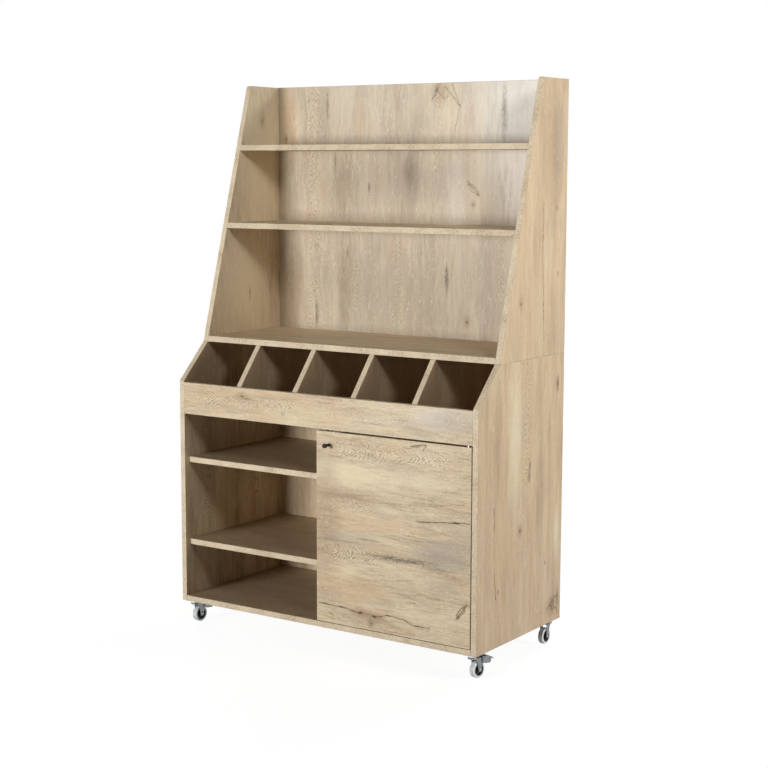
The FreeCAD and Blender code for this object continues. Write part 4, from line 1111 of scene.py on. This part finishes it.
class CABINET_OT_joinery(bpy.types.Operator):
    """Adds the cam locks, cam bolts, dowels and shelf pins that hold the boards"""

    bl_idname = "cabinet.joinery"
    bl_label = "Joinery"

    def execute(self, context):
        lock = turned("cam_lock", LOCK_RINGS, 36)
        settle(lock)
        cut_cross(lock, 1.5, 8.4, 0, 2.2)
        fit_out("cam_locks", lock, up)
        bolt = turned("cam_bolt", BOLT_RINGS, 20)
        settle(bolt)
        fit_out("cam_bolts", bolt, inwards)

        dowel = turned("dowel", DOWEL_RINGS, DOWEL_SIDES)
        open_up(dowel, "VERT")
        pick(dowel, "verts", in_flute)
        bpy.ops.transform.resize(value=(0.94, 0.94, 1))
        close_up()
        settle(dowel)
        places = [seat_of(box, lengthwise(box)) for box in solids_of("dowels")]
        hand_in(copies_at(dowel, "dowels_finished", places), "dowels", "beech")
        bpy.data.objects.remove(dowel)

        soften("shelf_pins", 0.25 * MM, 9 * MM, "zinc")
        return {"FINISHED"}


KNOB_RINGS = [
    (4.6, 0), (5.0, 0.35), (5.0, 1.1), (4.7, 1.5), (4.3, 2.0), (4.1, 3.2), (4.05, 7.5),
    (4.15, 10.5), (4.5, 12.8), (5.2, 15.0), (6.1, 17.0), (6.7, 18.4), (6.95, 19.4), (7.0, 20.4),
    (7.0, 25.6), (6.9, 26.5), (6.6, 27.2), (6.1, 27.7), (5.4, 27.95), (4.8, 28.0), (4.4, 27.85),
    (3.6, 27.7), (2.0, 27.6), (0.6, 27.58),
]


class CABINET_OT_knob(bpy.types.Operator):
    """Adds the turned post knob of the door"""

    bl_idname = "cabinet.knob"
    bl_label = "Knob"

    def execute(self, context):
        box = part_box("door_knob")
        knob = turned("door_knob_finished", KNOB_RINGS, 48)
        knob.matrix_world = seat_of(box, forward(box))
        settle(knob)
        smooth(knob, 50)
        hand_in(knob, "door_knob", "black_satin")
        return {"FINISHED"}


FRONT_AREA = 200 * MM**2
MAGNET_MARGIN = 2.4 * MM
MAGNET_DEPTH = 0.8 * MM


class CABINET_OT_catch(bpy.types.Operator):
    """Finishes the magnetic catch, the strike plate, the pivots and the hutch brackets"""

    bl_idname = "cabinet.catch"
    bl_label = "Catch and Pivots"

    def execute(self, context):
        catch = copy_of_node("magnetic_catch", "catch_finished")
        for name in ("white_plastic", "magnet"):
            catch.data.materials.append(finish(name))
        open_up(catch)
        pick(catch, "faces", lambda face: face.normal.y < -0.99 and face.calc_area() > FRONT_AREA)
        bpy.ops.mesh.inset(thickness=MAGNET_MARGIN, depth=0)
        bpy.ops.mesh.inset(thickness=0.3 * MM, depth=-MAGNET_DEPTH)
        catch.active_material_index = 1
        bpy.ops.object.material_slot_assign()
        close_up()
        smooth(catch)
        hand_in(catch, "magnetic_catch")
        soften("strike_plate", 0.25 * MM, 60 * MM, "zinc")
        soften("hutch_brackets", 0.4 * MM, 60 * MM, "zinc")
        soften("pivot_bushes", 0.4 * MM, 25 * MM, "white_plastic")
        soften("pivot_pin_bottom", 0.2 * MM, 16 * MM, "zinc")
        soften("pivot_pin_top", 0.3 * MM, 16 * MM, "zinc")
        return {"FINISHED"}


# ---- casters
PRESSED_EDGE = 30 * MM


class CABINET_OT_forks(bpy.types.Operator):
    """Finishes the top plates and the forks of the casters"""

    bl_idname = "cabinet.forks"
    bl_label = "Plates and Forks"

    def execute(self, context):
        rounding = context.scene.cabinet_fittings.rounding
        for corner in CORNERS:
            soften(f"caster_plate_{corner}", rounding, PRESSED_EDGE, "zinc")
            soften(f"fork_{corner}", rounding, PRESSED_EDGE, "dark_steel")
        return {"FINISHED"}


TYRE_INNER = 18.55 * MM
TYRE_OUTER = 25.0 * MM
TYRE_WIDTH = 17 * MM
TREAD_START = 24.55 * MM
SHOULDER = 3 * MM
GROOVE_DEPTH = 0.3 * MM
AXLE_SIDE = [
    (4.0, 0), (4.0, 12.45), (6.0, 12.45), (6.0, 13.2), (5.6, 14.1), (4.6, 14.7), (2.6, 14.9),
    (2.2, 14.5),
]


def tyre_model():
    """A soft ring about Z, its section spun: round shoulders and two fine grooves in the tread."""
    rim = TYRE_OUTER - 0.01 * MM
    middle = (TYRE_INNER + TYRE_OUTER) / 2
    let_go()
    bpy.ops.mesh.primitive_plane_add(
        size=1, location=(middle, 0, 0), rotation=(math.pi / 2, 0, 0)
    )
    ring = bpy.context.object
    ring.scale = (TYRE_OUTER - TYRE_INNER, TYRE_WIDTH, 1)
    apply_place(ring)
    open_up(ring, "VERT")
    pick(ring, "verts", lambda vert: vert.co.x > middle)
    bpy.ops.mesh.bevel(offset=SHOULDER, segments=6, affect="VERTICES")
    bpy.ops.mesh.select_all(action="SELECT")
    bpy.ops.mesh.delete(type="ONLY_FACE")
    pick(ring, "edges", lambda edge: min(vert.co.x for vert in edge.verts) > rim)
    bpy.ops.mesh.subdivide(number_cuts=7)
    pick(ring, "verts", lambda vert: vert.co.x > rim and 3.0 < abs(vert.co.z / MM) < 4.5)
    bpy.ops.transform.translate(value=(-GROOVE_DEPTH, 0, 0))
    bpy.ops.mesh.select_all(action="SELECT")
    bpy.ops.mesh.spin(steps=72, angle=math.tau, center=(0, 0, 0), axis=(0, 0, 1))
    bpy.ops.mesh.select_all(action="SELECT")
    bpy.ops.mesh.remove_doubles(threshold=0.005 * MM)
    bpy.ops.mesh.normals_make_consistent(inside=False)
    close_up()
    for polygon in ring.data.polygons:
        polygon.material_index = 1 if Vector(polygon.center).xy.length > TREAD_START else 0
    return ring


def axle_model():
    """An axle rivet about Z, a domed head at each end."""
    mirrored = [(radius, -height) for radius, height in reversed(AXLE_SIDE)]
    axle = turned("axle", mirrored + AXLE_SIDE[1:])
    settle(axle)
    return axle


class CABINET_OT_wheels(bpy.types.Operator):
    """Adds the tyres, hubs and axles: a tyre and an axle are modelled once and copied"""

    bl_idname = "cabinet.wheels"
    bl_label = "Wheels"

    def execute(self, context):
        models = {
            "tyre": (tyre_model(), "tyre_wall", "tyre_tread"),
            "axle": (axle_model(), "dark_steel"),
        }
        for corner in CORNERS:
            joint = JOINTS[f"wheel_spin_{corner}"]
            place = aim(joint["pos_m"], joint["axis"])
            for kind, (model, *finishes) in models.items():
                node = f"{kind}_{corner}"
                piece = copies_at(model, f"{node}_finished", [place])
                smooth(piece, 40)
                hand_in(piece, node, *finishes)
            hub = copy_of_node(f"wheel_hub_{corner}")
            round_over(hub, 0.2 * MM, 40 * MM, 50, 1)
            smooth(hub, 30)
            hand_in(hub, f"wheel_hub_{corner}", "hub_black")
        for model, *_ in models.values():
            bpy.data.objects.remove(model)
        return {"FINISHED"}


RIDGE_STARTS = (66 * MM, 69.5 * MM, 73 * MM, 76.5 * MM)
RIDGE_WIDTH = 1.3 * MM
RIDGE_HEIGHT = 0.5 * MM


def raise_ridge(piece, kingpin, trail, start):
    """A ridge across the top of a pedal, from start behind the kingpin."""
    for reach in (start, start + RIDGE_WIDTH):
        open_up(piece)
        pick(piece, "faces", lambda face: face.normal.z > 0.6 and face.calc_area() > 4 * MM**2)
        bpy.ops.mesh.bisect(plane_co=kingpin + trail * reach, plane_no=trail)
        close_up()

    def in_ridge(face):
        behind = (face.calc_center_median() - kingpin).dot(trail)
        return face.normal.z > 0.6 and start < behind < start + RIDGE_WIDTH

    open_up(piece)
    pick(piece, "faces", in_ridge)
    bpy.ops.mesh.inset(thickness=0.25 * MM, depth=RIDGE_HEIGHT)
    close_up()


class CABINET_OT_pedals(bpy.types.Operator):
    """Finishes the brake pedals, with ridges across the tread"""

    bl_idname = "cabinet.pedals"
    bl_label = "Brake Pedals"

    def execute(self, context):
        for corner in ("fl", "fr"):
            node = f"brake_pedal_{corner}"
            kingpin = Vector(JOINTS[f"swivel_{corner}"]["pos_m"])
            away = Vector(JOINTS[f"wheel_spin_{corner}"]["pos_m"]) - kingpin
            trail = Vector((away.x, away.y, 0)).normalized()
            piece = copy_of_node(node)
            for start in RIDGE_STARTS:
                raise_ridge(piece, kingpin, trail, start)
            round_over(piece, context.scene.cabinet_fittings.rounding, PRESSED_EDGE)
            smooth(piece)
            hand_in(piece, node, "dark_steel")
        return {"FINISHED"}


# ---- stage
WHITE = (1, 1, 1, 1)
FLOOR_SIZE = 40
SENSOR_WIDTH = 36
CAMERA_PLACE = (2.8410, -4.0924, 1.4575)
CAMERA_YAW = math.radians(34.105)
CAMERA_PITCH = math.radians(-7.599)
CAMERA_ROLL = math.radians(0.156)
# Each lamp: its power setting, place, target, width, height and spread in degrees.
LAMPS = {
    "key_lamp": ("key", (-1.5, -5.3, 1.2), (0, 0, 1.05), 1.6, 1.4, 180),
    "side_lamp": ("side", (5.0, 0.9, 1.0), (0, 0.2, 0.8), 2.4, 2.2, 180),
    "hutch_lamp": ("hutch", (2.9, -1.6, 2.6), (0, 0.1, 1.5), 0.8, 0.6, 50),
    "back_lamp": ("behind", (-4.7, 2.9, 0.8), (0, 0.2, 0.8), 2.4, 1.4, 180),
    "top_lamp": ("above", (0.4, 2.6, 3.4), (0, 0.25, 1.7), 1.4, 0.8, 180),
}


def seen_directly(tree):
    """1 for rays that show the background itself, straight or in gloss or glass."""
    path = tree.nodes.new("ShaderNodeLightPath")
    straight, gloss, glass = [
        Wire(tree, path.outputs[f"Is {name} Ray"]) for name in ("Camera", "Glossy", "Transmission")
    ]
    return (straight + gloss + glass).clipped()


def floor_material(name, colour):
    """A pale sweep that looks white where it is lit and keeps a soft shadow."""
    start = seen_directly(empty_tree(bpy.data.materials.new(name)))
    place = start.node("ShaderNodeTexCoord", output="Object")
    mottle = place.noise((0.4, 0.4, 0.4), 2.0)
    tone = (mottle + 0.5).ramp((0.3, colour), (0.7, toned(colour, 1.05)))
    plain = start.node("ShaderNodeBsdfDiffuse", None, {"Color": tone})
    soft = start.node("ShaderNodeBsdfDiffuse", None, {"Color": (0.22, 0.22, 0.22, 1)})
    glow = start.node("ShaderNodeEmission", None, {"Color": WHITE, "Strength": 0.9})
    white = start.node("ShaderNodeEmission", None, {"Color": WHITE, "Strength": 1.0})
    near = start.node("ShaderNodeAddShader", None, {0: soft, 1: glow})
    far = place.length().step(0.75, 1.5)
    lit = start.node("ShaderNodeMixShader", None, {0: far, 1: near, 2: white})
    mixed = start.node("ShaderNodeMixShader", None, {0: start, 1: plain, 2: lit})
    start.node("ShaderNodeOutputMaterial", None, {0: mixed})


def light_world(scene, ambient):
    """Even light from all round, in front of a white backdrop."""
    scene.world = bpy.data.worlds.new("studio")
    start = seen_directly(empty_tree(scene.world))
    strength = start * (1.0 - ambient) + ambient
    back = start.node("ShaderNodeBackground", None, {"Color": WHITE, "Strength": strength})
    start.node("ShaderNodeOutputWorld", None, {0: back})


def add_lamp(name, power, place, target, width, height, spread):
    """A large soft lamp that faces a target."""
    let_go()
    bpy.ops.object.light_add(type="AREA", location=place)
    lamp = bpy.context.object
    lamp.name = name
    lamp.data.shape = "RECTANGLE"
    lamp.data.size = width
    lamp.data.size_y = height
    lamp.data.energy = power
    lamp.data.spread = math.radians(spread)
    lamp.rotation_euler = (Vector(target) - Vector(place)).to_track_quat("-Z", "Y").to_euler()


def add_camera(scene, lens):
    """The camera at the right front."""
    let_go()
    bpy.ops.object.camera_add(location=CAMERA_PLACE)
    camera = bpy.context.object
    camera.name = "camera"
    camera.data.sensor_width = SENSOR_WIDTH
    camera.data.lens = lens
    turn = (
        Matrix.Rotation(CAMERA_YAW, 3, "Z")
        @ Matrix.Rotation(math.pi / 2 + CAMERA_PITCH, 3, "X")
        @ Matrix.Rotation(CAMERA_ROLL, 3, "Z")
    )
    camera.rotation_euler = turn.to_euler()
    scene.camera = camera


class CABINET_OT_stage(bpy.types.Operator):
    """Adds the floor, the lamps, the even light and the camera"""

    bl_idname = "cabinet.stage"
    bl_label = "Stage"

    def execute(self, context):
        stage = context.scene.cabinet_stage
        context.scene.view_settings.view_transform = "Standard"
        let_go()
        bpy.ops.mesh.primitive_plane_add(size=FLOOR_SIZE, location=(0, 0, 0))
        floor = context.object
        floor.name = "floor"
        floor.data.materials.append(stock("floor_sweep", floor_material, stage.floor))
        light_world(context.scene, stage.ambient)
        for name, (setting, *values) in LAMPS.items():
            add_lamp(name, getattr(stage, setting), *values)
        add_camera(context.scene, stage.lens)
        return {"FINISHED"}


# ---- panel and run
OPERATORS = (
    CABINET_OT_stage, CABINET_OT_boards, CABINET_OT_door, CABINET_OT_knob, CABINET_OT_catch,
    CABINET_OT_joinery, CABINET_OT_screws, CABINET_OT_forks, CABINET_OT_wheels, CABINET_OT_pedals,
)
GROUPS = {
    "cabinet_boards": CABINET_PG_boards,
    "cabinet_fittings": CABINET_PG_fittings,
    "cabinet_stage": CABINET_PG_stage,
}


class CABINET_PT_sidebar(bpy.types.Panel):
    """The cabinet's steps and settings"""

    bl_idname = "CABINET_PT_sidebar"
    bl_label = "Condiment Station Cabinet"
    bl_space_type = "VIEW_3D"
    bl_region_type = "UI"
    bl_category = "Cabinet"

    def draw(self, context):
        for operator in OPERATORS:
            self.layout.operator(operator.bl_idname)
        for group in GROUPS:
            box = self.layout.box()
            settings = getattr(context.scene, group)
            for name in settings.bl_rna.properties.keys():
                if name not in ("rna_type", "name"):
                    box.prop(settings, name)


CLASSES = (*GROUPS.values(), *OPERATORS, CABINET_PT_sidebar)


def register():
    for made in CLASSES:
        bpy.utils.register_class(made)
    for name, group in GROUPS.items():
        setattr(bpy.types.Scene, name, bpy.props.PointerProperty(type=group))


def unregister():
    for name in GROUPS:
        delattr(bpy.types.Scene, name)
    for made in reversed(CLASSES):
        bpy.utils.unregister_class(made)


def main():
    """Makes the whole cabinet."""
    register()
    for operator in OPERATORS:
        group, _, name = operator.bl_idname.partition(".")
        getattr(getattr(bpy.ops, group), name)()


if __name__ == "__main__":
    main()
